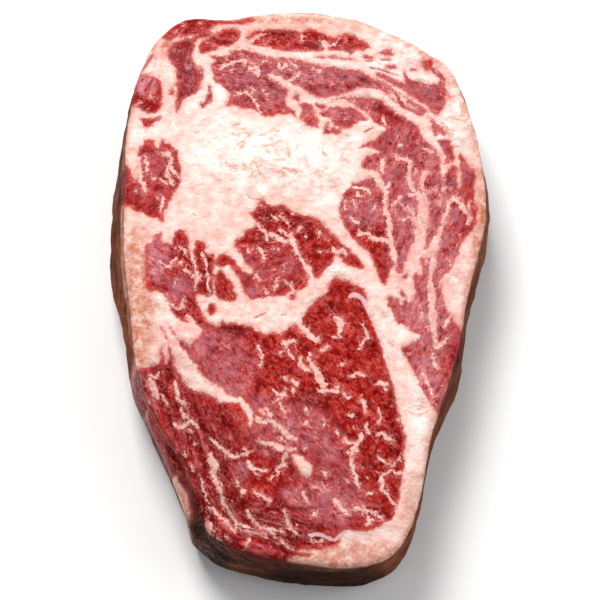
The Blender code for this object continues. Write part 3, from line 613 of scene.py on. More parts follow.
@dataclass(frozen=True)
class TissueMap:
    """Where each tissue lies in the cut face, in plan millimetres."""

    reach: float = 6.0
    outline_steps: int = 3
    thread_steps: int = 3
    edge_wander: float = 0.28
    wander_size: float = 1.7
    soft_blot: float = 0.35
    blunt: float = 0.45
    slimming: float = 0.45

    def wandered(self, places: Points) -> Points:
        """Plan places nudged by small random steps, so that no edge runs too smooth."""
        nudge = np.column_stack([
            lumps(places, self.wander_size, 3) + 0.5 * lumps(places, self.wander_size * 0.45, 5),
            lumps(places, self.wander_size, 4) + 0.5 * lumps(places, self.wander_size * 0.45, 6),
        ])
        return places[:, :2] + self.edge_wander * nudge

    def lean(self, places: Points) -> tuple[np.ndarray, np.ndarray]:
        """How deep in lean each place is, and the fibres' direction there.

        Args:
            places: Places in millimetres, three columns.

        Returns:
            Signed depth in millimetres, and an angle in degrees.
        """
        plan = self.wandered(places)
        depth = np.full(len(plan), -self.reach)
        angle = np.zeros(len(plan))
        for muscle in MUSCLES:
            outline = spline(numbers(muscle.outline), True, self.outline_steps)
            found = depth_inside(plan, outline, self.reach)
            angle = np.where(found > depth, muscle.grain, angle)
            depth = np.maximum(depth, found)
        for bead in BEADS:
            offset = (plan - (bead[0], bead[1])) / (bead[2], bead[3])
            depth = np.maximum(depth, (1.0 - np.hypot(*offset.T)) * min(bead[2], bead[3]))
        for pad in PADS:
            depth = np.minimum(depth, -depth_inside(plan, spline(numbers(pad), True, 3), self.reach))
        return depth, angle

    def tint(self, places: Points, kind: Tint) -> np.ndarray:
        """How strongly one kind of blot shows at each place, from 0 to 1."""
        plan = self.wandered(places)
        shown = np.zeros(len(plan))
        for x, y, half_x, half_y in numbers(BLOTS[kind]):
            offset = np.hypot((plan[:, 0] - x) / half_x, (plan[:, 1] - y) / half_y)
            shown = np.maximum(shown, (0.62 if kind == Tint.PAINTED_SHEEN else 1.0) * (1.0 - smooth(offset, self.soft_blot, 1.6)))
        for x, y, half_x, half_y, strength in numbers(WASHES[kind]):
            offset = np.hypot((plan[:, 0] - x) / half_x, (plan[:, 1] - y) / half_y)
            shown = np.maximum(shown, strength * (1.0 - smooth(offset, 0.6, 1.3)))
        return shown

    def flow(self, places: Points) -> Points:
        """Coordinates that follow the flap's strands: how far along them, and how far across."""
        curve = spline(numbers(FLOW), False, 6)
        run = np.concatenate([[0.0], np.cumsum(np.hypot(*np.diff(curve, axis=0).T))])
        distance, share, _ = to_segments(places[:, :2], curve[:-1], curve[1:])
        nearest = distance.argmin(1)
        rows = np.arange(len(places))
        share = np.clip(share[rows, nearest], 0.0, 1.0)
        along = run[nearest] * (1.0 - share) + run[nearest + 1] * share
        across = distance[rows, nearest] + 1.5 * lumps(places, 8.0, 51) + 0.5 * lumps(places, 3.0, 52)
        return np.column_stack([along, across, places[:, 2]])

    def relief(self, places: Points) -> np.ndarray:
        """How far swellings and creases move the face, in millimetres."""
        plan = places[:, :2]
        height = np.zeros(len(plan))
        for x, y, half_x, half_y, rise in numbers(SWELLS):
            offset = np.hypot((plan[:, 0] - x) / half_x, (plan[:, 1] - y) / half_y)
            height += rise * (1.0 - smooth(offset, 0.3, 1.25))
        for path, width, drop in CREASES:
            curve = spline(numbers(path), False, 4)
            near = np.flatnonzero(((plan > curve.min(0) - 4) & (plan < curve.max(0) + 4)).all(1))
            if len(near):
                distance = to_segments(plan[near], curve[:-1], curve[1:])[0].min(1)
                height[near] -= drop * np.exp(-((distance / width) ** 2))
        return height

    def threads(self, corners: Points, entries: list[tuple[str, float]]) -> Points:
        """Lays thin lines over triangles, so that even a line finer than the mesh stays whole.

        Args:
            corners: The triangles' corners in plan millimetres, three rows of two for each.
            entries: Lines as "path | widths; path | widths", with the value that their corners carry.

        Returns:
            For each corner: the signed distance to the line, its half width, and that value.
        """
        middle = corners.mean(1)
        best = np.full(len(corners), 3.0)
        laid = np.zeros((len(corners), 3, 3))
        laid[..., 0] = 9.0
        for entry, value in ((entry, value) for text, value in entries for entry in text.split(";")):
            course, sizes = entry.split("|")
            path = numbers(course)
            if len(path) == 1:
                path = np.vstack([path - (0.25, 0.1), path + (0.25, 0.1)])
            widths = np.array(sizes.split(), float)
            curve = spline(path, False, self.thread_steps)
            run = np.linspace(0.0, 1.0, len(curve))
            half = self.slimming * np.interp(run, np.linspace(0, 1, len(widths)), widths)
            half *= np.clip(self.blunt + 5.0 * np.minimum(run, 1.0 - run), self.blunt, 1.0)
            near = np.flatnonzero(((middle > curve.min(0) - 3) & (middle < curve.max(0) + 3)).all(1))
            if not len(near):
                continue
            distance, share, _ = to_segments(middle[near], curve[:-1], curve[1:])
            nearest = distance.argmin(1)
            rows = np.arange(len(near))
            share, distance = share[rows, nearest], distance[rows, nearest]
            width = half[nearest] * (1 - share) + half[nearest + 1] * share
            better = distance - width < best[near]
            near, nearest, share, distance = near[better], nearest[better], share[better], distance[better]
            best[near] = distance - width[better]
            beyond = ((nearest == 0) & (share <= 0)) | ((nearest == len(curve) - 2) & (share >= 1))
            start, end = curve[nearest], curve[nearest + 1]
            along = end - start
            long = np.maximum(np.hypot(*along.T), 1e-6)
            for corner in range(3):
                spot = corners[near, corner] - start
                across = (spot[:, 0] * along[:, 1] - spot[:, 1] * along[:, 0]) / long
                tip = np.where((share <= 0)[:, None], start, end)
                round_end = np.hypot(*(corners[near, corner] - tip).T)
                laid[near, corner, 0] = np.where(beyond, round_end, across)
                laid[near, corner, 1] = width[better]
                laid[near, corner, 2] = value
        return laid


@dataclass
class SliceSkin:
    """The slice's fine closed skin: a face, a rim, a wall, a base edge and an underside.

    Sizes are in millimetres. Rings run all round the slice, and each holds the same directions.
    """

    solid: bpy.types.Object
    around: int = 620
    face_pitch: float = 0.62
    base_pitch: float = 1.6
    rim_round: float = 2.6
    rim_rings: int = 7
    wall_rings: int = 27
    base_round: float = 3.4
    base_rings: int = 6
    smoothing: int = 26

    def __post_init__(self) -> None:
        """Takes the solid's faces as something to cast rays at."""
        corners = [vertex.co / MM for vertex in self.solid.data.vertices]
        faces = [tuple(face.vertices) for face in self.solid.data.polygons]
        self.tree = BVHTree.FromPolygons(corners, faces)

    def hit(self, start: Vector, direction: Vector) -> Vector:
        """Where a ray that starts inside the solid meets its surface."""
        found = self.tree.ray_cast(start, direction)[0]
        if found is None:
            raise RuntimeError(f"no surface from {tuple(start)} towards {tuple(direction)}")
        return found

    def directions(self) -> list[Vector]:
        """Outward directions whose hits on the wall lie evenly round the slice."""
        coarse = np.linspace(0.0, 2.0 * math.pi, 1441)
        wall = np.array([self.hit(Vector((0, 0, 15)), Vector((math.cos(a), math.sin(a), 0)))[:2] for a in coarse])
        run = np.concatenate([[0.0], np.cumsum(np.hypot(*np.diff(wall, axis=0).T))])
        angles = np.interp(np.arange(self.around) / self.around * run[-1], run, coarse)
        return [Vector((math.cos(a), math.sin(a), 0.0)) for a in angles]

    def profile(self, out: Vector) -> list[Vector]:
        """One cut through the edge of the slice, from the face down to the underside."""
        up = Vector((0, 0, 1))
        high = self.hit(Vector((0, 0, 25)), out).length
        reach = Vector((out.x, out.y, 0)) * ((self.hit(Vector((0, 0, 26)), out).xy).length - self.rim_round)
        face = self.hit(reach + up * 20, up).z
        centre = reach + up * (face - self.rim_round)
        points = []
        for step in range(self.rim_rings + 1):
            turn = 0.5 * math.pi * (1 - step / self.rim_rings)
            points.append(self.hit(centre, out * math.cos(turn) + up * math.sin(turn)))
        top = points[-1].z
        for step in range(1, self.wall_rings):
            level = top + (self.base_round - top) * step / self.wall_rings
            points.append(self.hit(up * level, out))
        low = self.hit(up * self.base_round, out).xy.length - self.base_round
        centre = out * low + up * self.base_round
        for step in range(self.base_rings + 1):
            turn = -0.5 * math.pi * step / self.base_rings
            points.append(self.hit(centre, out * math.cos(turn) + up * math.sin(turn)))
        return points

    def filled(self, ring: Points, pitch: float) -> tuple[Points, Points]:
        """Fills a ring with an even triangular lattice.

        Args:
            ring: The ring's plan points.
            pitch: The lattice's spacing.

        Returns:
            All plan points, the ring's first, and the triangles between them.
        """
        row_gap = pitch * math.sqrt(0.75)
        low, high = ring.min(0), ring.max(0)
        rows = np.arange(low[1], high[1], row_gap)
        columns = np.arange(low[0], high[0], pitch)
        lattice = np.array([(x + 0.5 * pitch * (k % 2), y) for k, y in enumerate(rows) for x in columns])
        lattice = lattice[depth_inside(lattice, ring, 2.0) > 0.6 * pitch]
        places = np.vstack([ring, lattice])
        edges = [(k, (k + 1) % len(ring)) for k in range(len(ring))]
        result = delaunay_2d_cdt([Vector(p) for p in places], edges, [], 1, 1e-5)
        if len(result[0]) != len(places):
            raise RuntimeError("the filling moved its points")
        return places, np.array(result[2])

    def build(self) -> tuple[Points, Points]:
        """Makes the skin.

        Returns:
            Vertices in millimetres and triangles, wound so that they face out.
        """
        profiles = [self.profile(out) for out in self.directions()]
        rings = np.array([[tuple(point) for point in cut] for cut in profiles]).transpose(1, 0, 2)
        count = len(rings)
        vertices = list(rings.reshape(-1, 3))
        index = np.arange(count * self.around).reshape(count, self.around)
        after = np.roll(index, -1, axis=1)
        quads = np.stack([index[:-1], index[1:], after[1:], after[:-1]], -1).reshape(-1, 4)
        faces = [quads[:, [0, 1, 2]], quads[:, [0, 2, 3]]]
        for ring, pitch, top in ((rings[0], self.face_pitch, True), (rings[-1], self.base_pitch, False)):
            plan, inner = self.filled(ring[:, :2], pitch)
            first = len(vertices)
            for x, y in plan[self.around :]:
                level = self.hit(Vector((x, y, 15)), Vector((0, 0, 1))).z if top else 0.0
                vertices.append(np.array((x, y, level)))
            own = index[0 if top else -1]
            number = np.concatenate([own, first + np.arange(len(plan) - self.around)])
            faces.append(number[inner] if top else number[inner][:, ::-1])
        return self.smoothed(np.array(vertices), np.vstack(faces)), np.vstack(faces)

    def smoothed(self, vertices: Points, faces: Points) -> Points:
        """Rubs out the solid's facets without shrinking the slice."""
        pairs = np.vstack([faces[:, [0, 1]], faces[:, [1, 2]], faces[:, [2, 0]]])
        pairs = np.unique(np.sort(pairs, axis=1), axis=0)
        first, second = np.concatenate([pairs, pairs[:, ::-1]]).T
        valence = np.bincount(first, minlength=len(vertices))[:, None]
        for turn in range(self.smoothing * 2):
            mean = np.column_stack([
                np.bincount(first, weights=vertices[second, axis], minlength=len(vertices)) for axis in range(3)
            ]) / valence
            vertices = vertices + (0.5 if turn % 2 == 0 else -0.53) * (mean - vertices)
        return vertices


def normals(vertices: Points, faces: Points) -> Points:
    """Unit normals at the vertices."""
    corner = vertices[faces]
    across = np.cross(corner[:, 1] - corner[:, 0], corner[:, 2] - corner[:, 0])
    total = np.column_stack([
        sum(np.bincount(faces[:, k], weights=across[:, axis], minlength=len(vertices)) for k in range(3))
        for axis in range(3)
    ])
    return total / np.maximum(np.linalg.norm(total, axis=1, keepdims=True), 1e-9)


def linear(red: int, green: int, blue: int) -> tuple[float, float, float, float]:
    """A display colour, from 0 to 255 each, as the shader's own linear numbers."""
    shares = (value / 255.0 for value in (red, green, blue))
    shades = [c / 12.92 if c <= 0.04045 else ((c + 0.055) / 1.055) ** 2.4 for c in shares]
    return (shades[0], shades[1], shades[2], 1.0)


class Bench:
    """Places shader nodes in one tree and joins them."""

    def __init__(self, tree: bpy.types.NodeTree) -> None:
        """Keeps the tree, with the object's own coordinates in millimetres at hand."""
        self.tree = tree
        coordinates = self.add("ShaderNodeTexCoord")
        scale = self.add("ShaderNodeVectorMath", operation="SCALE")
        tree.links.new(coordinates.outputs["Object"], scale.inputs[0])
        scale.inputs["Scale"].default_value = 1.0 / MM
        self.place = scale.outputs[0]

    def add(self, kind: str, **settings: object) -> bpy.types.Node:
        """Adds a node of a kind and sets its properties."""
        node = self.tree.nodes.new(kind)
        for name, value in settings.items():
            setattr(node, name, value)
        return node

    def feed(self, target: bpy.types.NodeSocket, value: object) -> None:
        """Joins a socket to another, or sets it to a plain value."""
        if isinstance(value, bpy.types.NodeSocket):
            self.tree.links.new(value, target)
        else:
            target.default_value = value

    def sum(self, operation: str, *values: object, clamp: bool = False) -> bpy.types.NodeSocket:
        """One step of arithmetic on numbers or sockets."""
        node = self.add("ShaderNodeMath", operation=operation, use_clamp=clamp)
        for target, value in zip(node.inputs, values):
            self.feed(target, value)
        return node.outputs[0]

    def step(self, value: object, low: float, high: float, share: float = 1.0) -> bpy.types.NodeSocket:
        """Rises softly from 0 at low to share at high, or falls where low is the higher."""
        node = self.add("ShaderNodeMapRange", interpolation_type="SMOOTHSTEP")
        self.feed(node.inputs["Value"], value)
        node.inputs["From Min"].default_value = min(low, high)
        node.inputs["From Max"].default_value = max(low, high)
        node.inputs["To Min"].default_value = 0.0 if low < high else share
        node.inputs["To Max"].default_value = share if low < high else 0.0
        return node.outputs["Result"]

    def mix(self, share: object, first: object, second: object, blend: str = "MIX") -> bpy.types.NodeSocket:
        """Lays the second colour over the first by a share."""
        node = self.add("ShaderNodeMix", data_type="RGBA", blend_type=blend, clamp_factor=True)
        self.feed(node.inputs[0], share)
        self.feed(node.inputs[6], first)
        self.feed(node.inputs[7], second)
        return node.outputs[2]

    def noise(self, size: float, detail: float = 3.0, rough: float = 0.55, vector: object = None,
              warp: float = 0.0) -> bpy.types.NodeSocket:
        """Noise with lumps of a size in millimetres, as a value round one half."""
        node = self.add("ShaderNodeTexNoise", noise_dimensions="3D")
        self.feed(node.inputs["Vector"], vector or self.place)
        node.inputs["Scale"].default_value = 1.0 / size
        node.inputs["Detail"].default_value = detail
        node.inputs["Roughness"].default_value = rough
        node.inputs["Distortion"].default_value = warp
        return node.outputs[0]

    def stretched(self, vector: object, *scale: float) -> bpy.types.NodeSocket:
        """Coordinates scaled apart, so that a pattern drawn on them runs long one way."""
        node = self.add("ShaderNodeVectorMath", operation="MULTIPLY")
        self.feed(node.inputs[0], vector)
        node.inputs[1].default_value = scale
        return node.outputs[0]

    def bundles(self, vector: object, size: float, wander: float) -> tuple[bpy.types.NodeSocket, ...]:
        """Muscle bundles as uneven cells.

        Args:
            vector: The coordinates that the cells lie in.
            size: A bundle's size in millimetres.
            wander: How far the cells' borders stray, in millimetres.

        Returns:
            One random value for each bundle, and a mask of the seams between them.
        """
        stray = self.add("ShaderNodeTexNoise", noise_dimensions="3D")
        self.feed(stray.inputs["Vector"], vector)
        stray.inputs["Scale"].default_value = 0.8 / size
        stray.inputs["Detail"].default_value = 3.0
        moved = self.add("ShaderNodeVectorMath", operation="MULTIPLY_ADD")
        self.feed(moved.inputs[0], stray.outputs["Color"])
        moved.inputs[1].default_value = (2.0 * wander,) * 3
        self.feed(moved.inputs[2], vector)
        outputs = []
        for feature, name in (("F1", "Color"), ("DISTANCE_TO_EDGE", "Distance")):
            cells = self.add("ShaderNodeTexVoronoi", feature=feature)
            cells.inputs["Scale"].default_value = 1.0 / size
            self.feed(cells.inputs["Vector"], moved.outputs[0])
            outputs.append(cells.outputs[name])
        parts = self.add("ShaderNodeSeparateColor")
        self.feed(parts.inputs[0], outputs[0])
        return parts.outputs[0], self.step(outputs[1], 0.16, 0.0)

    def ramp(self, value: object, *stops: tuple[float, tuple[int, int, int]]) -> bpy.types.NodeSocket:
        """Turns a value into a colour by stops of position and display colour."""
        node = self.add("ShaderNodeValToRGB")
        elements = node.color_ramp.elements
        while len(elements) < len(stops):
            elements.new(1.0)
        for element, (position, colour) in zip(elements, stops):
            element.position = position
            element.color = linear(*colour)
        self.feed(node.inputs[0], value)
        return node.outputs[0]

    def carried(self, name: str) -> tuple[bpy.types.NodeSocket, ...]:
        """The three columns of an attribute that the mesh carries."""
        source = self.add("ShaderNodeAttribute", attribute_name=name)
        parts = self.add("ShaderNodeSeparateXYZ")
        self.feed(parts.inputs[0], source.outputs["Vector"])
        return tuple(parts.outputs)


@dataclass(frozen=True)
class MeatFinish:
    """Raw beef: red lean with pink threads, cream fat, a dried rim and a browned side, with painted sheen, painted
    highlights and painted shade laid into the colours.
    """

    lean_dark: tuple[int, int, int] = (112, 0, 0)
    lean_mid: tuple[int, int, int] = (158, 16, 11)
    lean_light: tuple[int, int, int] = (200, 70, 60)
    # The flap strands' reds, darkest in the grooves and palest on the crests: partly their own colour, partly painted
    # shade and painted highlight.
    strand_dark_and_groove_shade: tuple[int, int, int] = (80, 0, 2)
    strand_mid: tuple[int, int, int] = (152, 8, 6)
    strand_rose: tuple[int, int, int] = (176, 54, 60)
    strand_pale_and_crest_highlight: tuple[int, int, int] = (222, 128, 120)
    # Painted sheen colour: the soft light's reflection on the wet lean, partly a purplish tone of the meat.
    painted_sheen: tuple[int, int, int] = (208, 132, 146)
    # Darkest red, for darker meat and for painted shade.
    dark_red_and_shade: tuple[int, int, int] = (88, 2, 2)
    glow: tuple[int, int, int] = (186, 26, 8)
    rose: tuple[int, int, int] = (204, 92, 84)
    fibre: tuple[int, int, int] = (220, 136, 132)
    fleck: tuple[int, int, int] = (238, 168, 156)
    fat: tuple[int, int, int] = (248, 205, 194)
    fat_deep: tuple[int, int, int] = (236, 180, 165)
    fat_light: tuple[int, int, int] = (255, 226, 217)
    # Whiter fat, also the colour of painted highlights.
    fat_white_and_highlight: tuple[int, int, int] = (255, 246, 239)
    vein: tuple[int, int, int] = (216, 134, 96)
    blush: tuple[int, int, int] = (226, 138, 128)
    orange: tuple[int, int, int] = (200, 116, 82)
    stain: tuple[int, int, int] = (214, 110, 114)
    # The side's own dried browns, kept dark partly as painted shade of a side that faces away from the light.
    wall_fat: tuple[int, int, int] = (172, 120, 90)
    wall_tan: tuple[int, int, int] = (124, 66, 39)
    wall_mid: tuple[int, int, int] = (96, 46, 26)
    wall_brown: tuple[int, int, int] = (74, 34, 20)
    wall_dark: tuple[int, int, int] = (20, 7, 3)
    wall_purple: tuple[int, int, int] = (90, 41, 33)
    wall_orange: tuple[int, int, int] = (170, 94, 60)
    wall_lean: tuple[int, int, int] = (76, 16, 11)
    wall_rose: tuple[int, int, int] = (126, 44, 36)

    def material(self) -> bpy.types.Material:
        """Builds the material from the attributes that the skin carries."""
        made = bpy.data.materials.new("raw_beef")
        made.use_nodes = True
        tree = made.node_tree
        shader = next(node for node in tree.nodes if node.type == "BSDF_PRINCIPLED")
        bench = Bench(tree)
        side, dry, level = bench.carried("place")
        fat, lean_colour, edge, near = self.lean_look(bench)
        fat_colour = self.fat_look(bench, near, dry)
        colour = bench.mix(fat, lean_colour, fat_colour)
        colour = self.lines_look(bench, colour)
        colour = bench.mix(side, colour, self.wall_look(bench, edge, level))
        bench.feed(shader.inputs["Base Color"], colour)
        self.surface(bench, shader, fat, side)
        return made

    def lean_look(self, bench: Bench) -> tuple[bpy.types.NodeSocket, ...]:
        """Lean muscle.

        Args:
            bench: Where the nodes go.

        Returns:
            How much fat shows, the lean's colour, the rough edge's depth in lean, and how near lean is.
        """
        depth = bench.add("ShaderNodeAttribute", attribute_name="lean").outputs["Fac"]
        painted_sheen, dark_and_shade, glow = bench.carried("tints")
        grain = bench.add("ShaderNodeAttribute", attribute_name="grain").outputs["Vector"]
        ragged = bench.noise(1.7, 5.0, 0.75)
        edge = bench.sum("ADD", depth, bench.sum("MULTIPLY_ADD", ragged, 3.2, -1.6))
        open_fat = bench.step(edge, 0.6, -0.45)
        across, half, _ = bench.carried("thread")
        rough_thread = bench.sum("MULTIPLY_ADD", bench.noise(1.15, 5.0, 0.8), 3.7, -1.78)
        shifted = bench.sum("ADD", across, bench.sum("MULTIPLY_ADD", bench.noise(2.4, 2.0), 2.4, -1.2))
        thread = bench.sum("SUBTRACT", bench.sum("ADD", half, rough_thread), bench.sum("ABSOLUTE", shifted))
        thread_fat = bench.step(thread, -0.24, 0.26, 0.97)
        fat = bench.sum("MAXIMUM", open_fat, thread_fat)
        skirt = bench.sum("MINIMUM", bench.sum("SUBTRACT", 0.9, thread), 6.0)
        near = bench.sum("MAXIMUM", bench.step(edge, -1.8, 0.3), bench.sum("MULTIPLY", bench.step(skirt, -0.2, 0.9), thread_fat))
        bundle, seam = bench.bundles(grain, 1.25, 0.9)
        patch = bench.noise(3.4, 3.0, 0.6)
        fine = bench.noise(0.85, 5.0, 0.72, grain, 0.4)
        tone = bench.sum("MULTIPLY_ADD", bundle, 0.26, bench.sum("MULTIPLY_ADD", fine, 0.75, -0.01))
        tone = bench.sum("MULTIPLY_ADD", patch, 0.6, bench.sum("ADD", tone, -0.3))
        colour = bench.ramp(tone, (0.28, self.lean_dark), (0.5, self.lean_mid), (0.75, self.lean_light))
        stringy = bench.add("ShaderNodeAttribute", attribute_name="stringy").outputs["Fac"]
        # The strands' colour follows their relief, darker in the grooves and paler on the crests: partly painted shade
        # and painted highlight.
        pull = self.strands(bench)
        strands = bench.ramp(pull, (0.43, self.strand_dark_and_groove_shade), (0.5, self.strand_mid), (0.57, self.strand_rose),
                             (0.65, self.strand_pale_and_crest_highlight))
        colour = bench.mix(bench.sum("MULTIPLY", stringy, 0.85), colour, strands)
        # Darker meat, and painted shade in the crease and the hollow.
        shade = bench.sum("MULTIPLY", dark_and_shade, bench.step(fine, 0.72, 0.35, 0.85))
        colour = bench.mix(shade, colour, linear(*self.dark_red_and_shade))
        lit = bench.sum("MULTIPLY", glow, bench.step(patch, 0.3, 0.62, 0.85))
        colour = bench.mix(lit, colour, linear(*self.glow))
        # Painted sheen: the lean turns pale purple-pink where the soft light's reflection fell, partly the meat's own
        # purplish tone.
        painted_sheen_share = bench.sum("MULTIPLY", painted_sheen, bench.step(bench.noise(2.4, 6.0, 0.74, grain, 0.3), 0.36, 0.6, 0.9))
        colour = bench.mix(painted_sheen_share, colour, linear(*self.painted_sheen))
        # Pale flecks and fibre lines are likelier under the painted sheen.
        likely = bench.sum("MULTIPLY_ADD", painted_sheen, 0.07, bench.sum("MULTIPLY_ADD", patch, 0.36, -0.18))
        beside = bench.step(thread, -1.7, -0.2)
        likely = bench.sum("MULTIPLY_ADD", beside, 0.06, likely)
        line = bench.sum("MULTIPLY", seam, bench.step(bench.sum("ADD", bench.noise(1.6, 4.0, 0.7), likely), 0.44, 0.62))
        colour = bench.mix(bench.sum("MULTIPLY", line, bench.sum("MULTIPLY_ADD", beside, 0.3, 0.32)), colour,
                           linear(*self.fibre))
        pink = bench.step(edge, 1.5, 0.3, 0.55)
        colour = bench.mix(pink, colour, linear(*self.rose))
        fleck = bench.step(bench.sum("ADD", bench.noise(0.8, 5.0, 0.75, grain, 1.0), likely), 0.6, 0.72, 0.85)
        colour = bench.mix(fleck, colour, linear(*self.fleck))
        return fat, colour, edge, near

    def strands(self, bench: Bench) -> bpy.types.NodeSocket:
        """The flap's long strands: high along each one's crest and low between them."""
        flow = bench.add("ShaderNodeAttribute", attribute_name="flow").outputs["Vector"]
        drawn = bench.stretched(flow, 0.22, 1.0, 0.5)
        fine = bench.noise(1.1, 5.0, 0.7, drawn, 0.5)
        broad = bench.noise(2.8, 3.0, 0.6, drawn, 0.5)
        return bench.sum("MULTIPLY_ADD", fine, 0.45, bench.sum("MULTIPLY", broad, 0.6))

    def fat_look(self, bench: Bench, near: bpy.types.NodeSocket, dry: bpy.types.NodeSocket) -> bpy.types.NodeSocket:
        """Fat: cream, whiter in the kernel, blushed beside lean and orange where it dried, with painted highlights:
        whiter blots where fat shone and bright beads along the rim.
        """
        white_and_highlight, orange, stain = bench.carried("fats")
        mottle = bench.sum("MULTIPLY_ADD", bench.noise(1.0, 4.0, 0.7), 0.35, bench.noise(3.6, 4.0, 0.6))
        colour = bench.ramp(bench.sum("MULTIPLY", mottle, 0.74), (0.34, self.fat_deep), (0.48, self.fat),
                            (0.6, self.fat_light))
        # Whiter fat, and painted highlights where the white tint marks them.
        pale = bench.sum("MULTIPLY", white_and_highlight, bench.step(bench.noise(4.5, 5.0, 0.65), 0.25, 0.62))
        colour = bench.mix(pale, colour, linear(*self.fat_white_and_highlight))
        near = bench.sum("MULTIPLY", near, bench.step(bench.noise(1.4, 3.0), 0.25, 0.7, 0.55))
        colour = bench.mix(near, colour, linear(*self.blush))
        wavy = bench.noise(6.5, 4.0, 0.55, bench.stretched(bench.place, 0.55, 1.0, 1.0), 1.0)
        vein = bench.step(bench.sum("ABSOLUTE", bench.sum("SUBTRACT", wavy, 0.5)), 0.07, 0.0, 0.75)
        patchy = bench.sum("MULTIPLY", bench.step(bench.noise(6.0, 3.0), 0.48, 0.6), bench.sum("MULTIPLY_ADD", white_and_highlight, 0.8, 0.2))
        vein = bench.sum("MULTIPLY", vein, patchy)
        colour = bench.mix(vein, colour, linear(*self.vein))
        blood = bench.sum("MULTIPLY", stain, bench.step(bench.noise(2.4, 5.0, 0.7), 0.36, 0.62, 0.85))
        colour = bench.mix(blood, colour, linear(*self.stain))
        worn = bench.sum("MULTIPLY", bench.sum("MAXIMUM", orange, bench.sum("MULTIPLY", dry, 0.85)),
                         bench.step(bench.noise(2.6, 5.0, 0.7), 0.27, 0.63))
        colour = bench.mix(worn, colour, linear(*self.orange))
        # Painted glints: bright beads along the dried rim, for the wet shine of its edge.
        painted_glints = bench.sum("MULTIPLY", dry, bench.step(bench.noise(0.9, 2.0, 0.5), 0.6, 0.68, 0.7))
        return bench.mix(painted_glints, colour, linear(*self.fat_light))

    def lines_look(self, bench: Bench, colour: bpy.types.NodeSocket) -> bpy.types.NodeSocket:
        """Thin strands, silverskin, slivers of lean and creases, laid over the rest."""
        across, half, kind = bench.carried("line")
        wander = bench.sum("MULTIPLY_ADD", bench.noise(1.0, 5.0, 0.75), 1.6, -0.8)
        inside = bench.sum("SUBTRACT", bench.sum("ADD", half, wander), bench.sum("ABSOLUTE", across))
        shown = bench.step(inside, -0.3, 0.3, 0.75)
        # The last stop, for a crease, is painted shade in a fold.
        tone = bench.ramp(kind, (0.0, (240, 186, 156)), (0.2, (188, 88, 56)), (0.4, (232, 200, 198)),
                          (0.6, (168, 52, 56)), (0.8, (84, 28, 24)))
        tone.node.color_ramp.interpolation = "CONSTANT"
        return bench.mix(shown, colour, tone)

    def wall_look(self, bench: Bench, edge: bpy.types.NodeSocket, level: bpy.types.NodeSocket) -> bpy.types.NodeSocket:
        """The side: a dried brown membrane, with darkened lean where a muscle meets it, and painted shade that darkens
        it towards the floor and along the front.
        """
        _, dark_and_shade, _ = bench.carried("tints")
        white_and_highlight, orange, _ = bench.carried("fats")
        drawn = bench.stretched(bench.place, 0.3, 0.3, 1.0)
        folds = bench.noise(4.5, 5.0, 0.6, drawn, 0.6)
        skin = bench.ramp(folds, (0.3, self.wall_brown), (0.5, self.wall_mid), (0.7, self.wall_tan))
        broad = bench.noise(14.0, 3.0, 0.5)
        skin = bench.mix(bench.step(broad, 0.5, 0.66, 0.6), skin, linear(*self.wall_purple))
        worn = bench.sum("MULTIPLY", orange, bench.step(bench.noise(3.0, 4.0, 0.6), 0.35, 0.65, 0.5))
        skin = bench.mix(worn, skin, linear(*self.wall_orange))
        clean = bench.sum("MULTIPLY", bench.sum("MULTIPLY_ADD", white_and_highlight, 0.7, 0.3),
                          bench.step(bench.noise(6.0, 5.0, 0.65, drawn, 0.4), 0.5, 0.66, 0.85))
        skin = bench.mix(clean, skin, linear(*self.wall_fat))
        meat = bench.ramp(bench.noise(1.5, 5.0, 0.7, drawn, 0.5), (0.35, self.wall_dark), (0.5, self.wall_lean),
                          (0.7, self.wall_rose))
        bare = bench.sum("MULTIPLY_ADD", bench.noise(7.0, 4.0, 0.6), 7.0, bench.sum("MULTIPLY_ADD", level, 3.0, -6.4))
        bare = bench.step(bench.sum("ADD", edge, bare), 0.0, 2.6, 0.85)
        skin = bench.mix(bare, skin, meat)
        # Painted shade: the side darkens towards the floor, and where the dark tint lies, as on the front side.
        painted_shade = bench.sum("MAXIMUM", bench.sum("MULTIPLY", dark_and_shade, 0.9), bench.step(level, 0.45, 0.0, 0.35))
        return bench.mix(painted_shade, skin, linear(*self.wall_dark))

    def surface(self, bench: Bench, shader: bpy.types.Node, fat: bpy.types.NodeSocket,
                side: bpy.types.NodeSocket) -> None:
        """Gloss and fine relief: moist lean, waxy fat and a matt dry side."""
        rough = bench.sum("MULTIPLY_ADD", bench.noise(1.2, 3.0), 0.3, 0.16)
        rough = bench.sum("MULTIPLY_ADD", fat, 0.1, rough)
        rough = bench.sum("MULTIPLY_ADD", side, 0.25, rough, clamp=True)
        bench.feed(shader.inputs["Roughness"], rough)
        grain = bench.add("ShaderNodeAttribute", attribute_name="grain").outputs["Vector"]
        lean = bench.sum("SUBTRACT", 1.0, fat, clamp=True)
        fibres = bench.sum("MULTIPLY", bench.sum("SUBTRACT", bench.noise(0.9, 4.0, 0.65, grain), 0.5), lean)
        wrinkles = bench.sum("MULTIPLY", bench.sum("SUBTRACT", bench.noise(1.8, 5.0, 0.65, warp=0.8), 0.5), fat)
        height = bench.sum("MULTIPLY_ADD", fibres, 0.45, bench.noise(2.6, 4.0, 0.6))
        height = bench.sum("MULTIPLY_ADD", wrinkles, 0.8, height)
        stringy = bench.add("ShaderNodeAttribute", attribute_name="stringy").outputs["Fac"]
        height = bench.sum("MULTIPLY_ADD", bench.sum("MULTIPLY", self.strands(bench), stringy), 2.4, height)
        bump = bench.add("ShaderNodeBump")
        bump.inputs["Strength"].default_value = 0.8
        bump.inputs["Distance"].default_value = 0.8 * MM
        bench.feed(bump.inputs["Height"], height)
        bench.feed(shader.inputs["Normal"], bump.outputs["Normal"])
        shader.inputs["Subsurface Weight"].default_value = 0.06
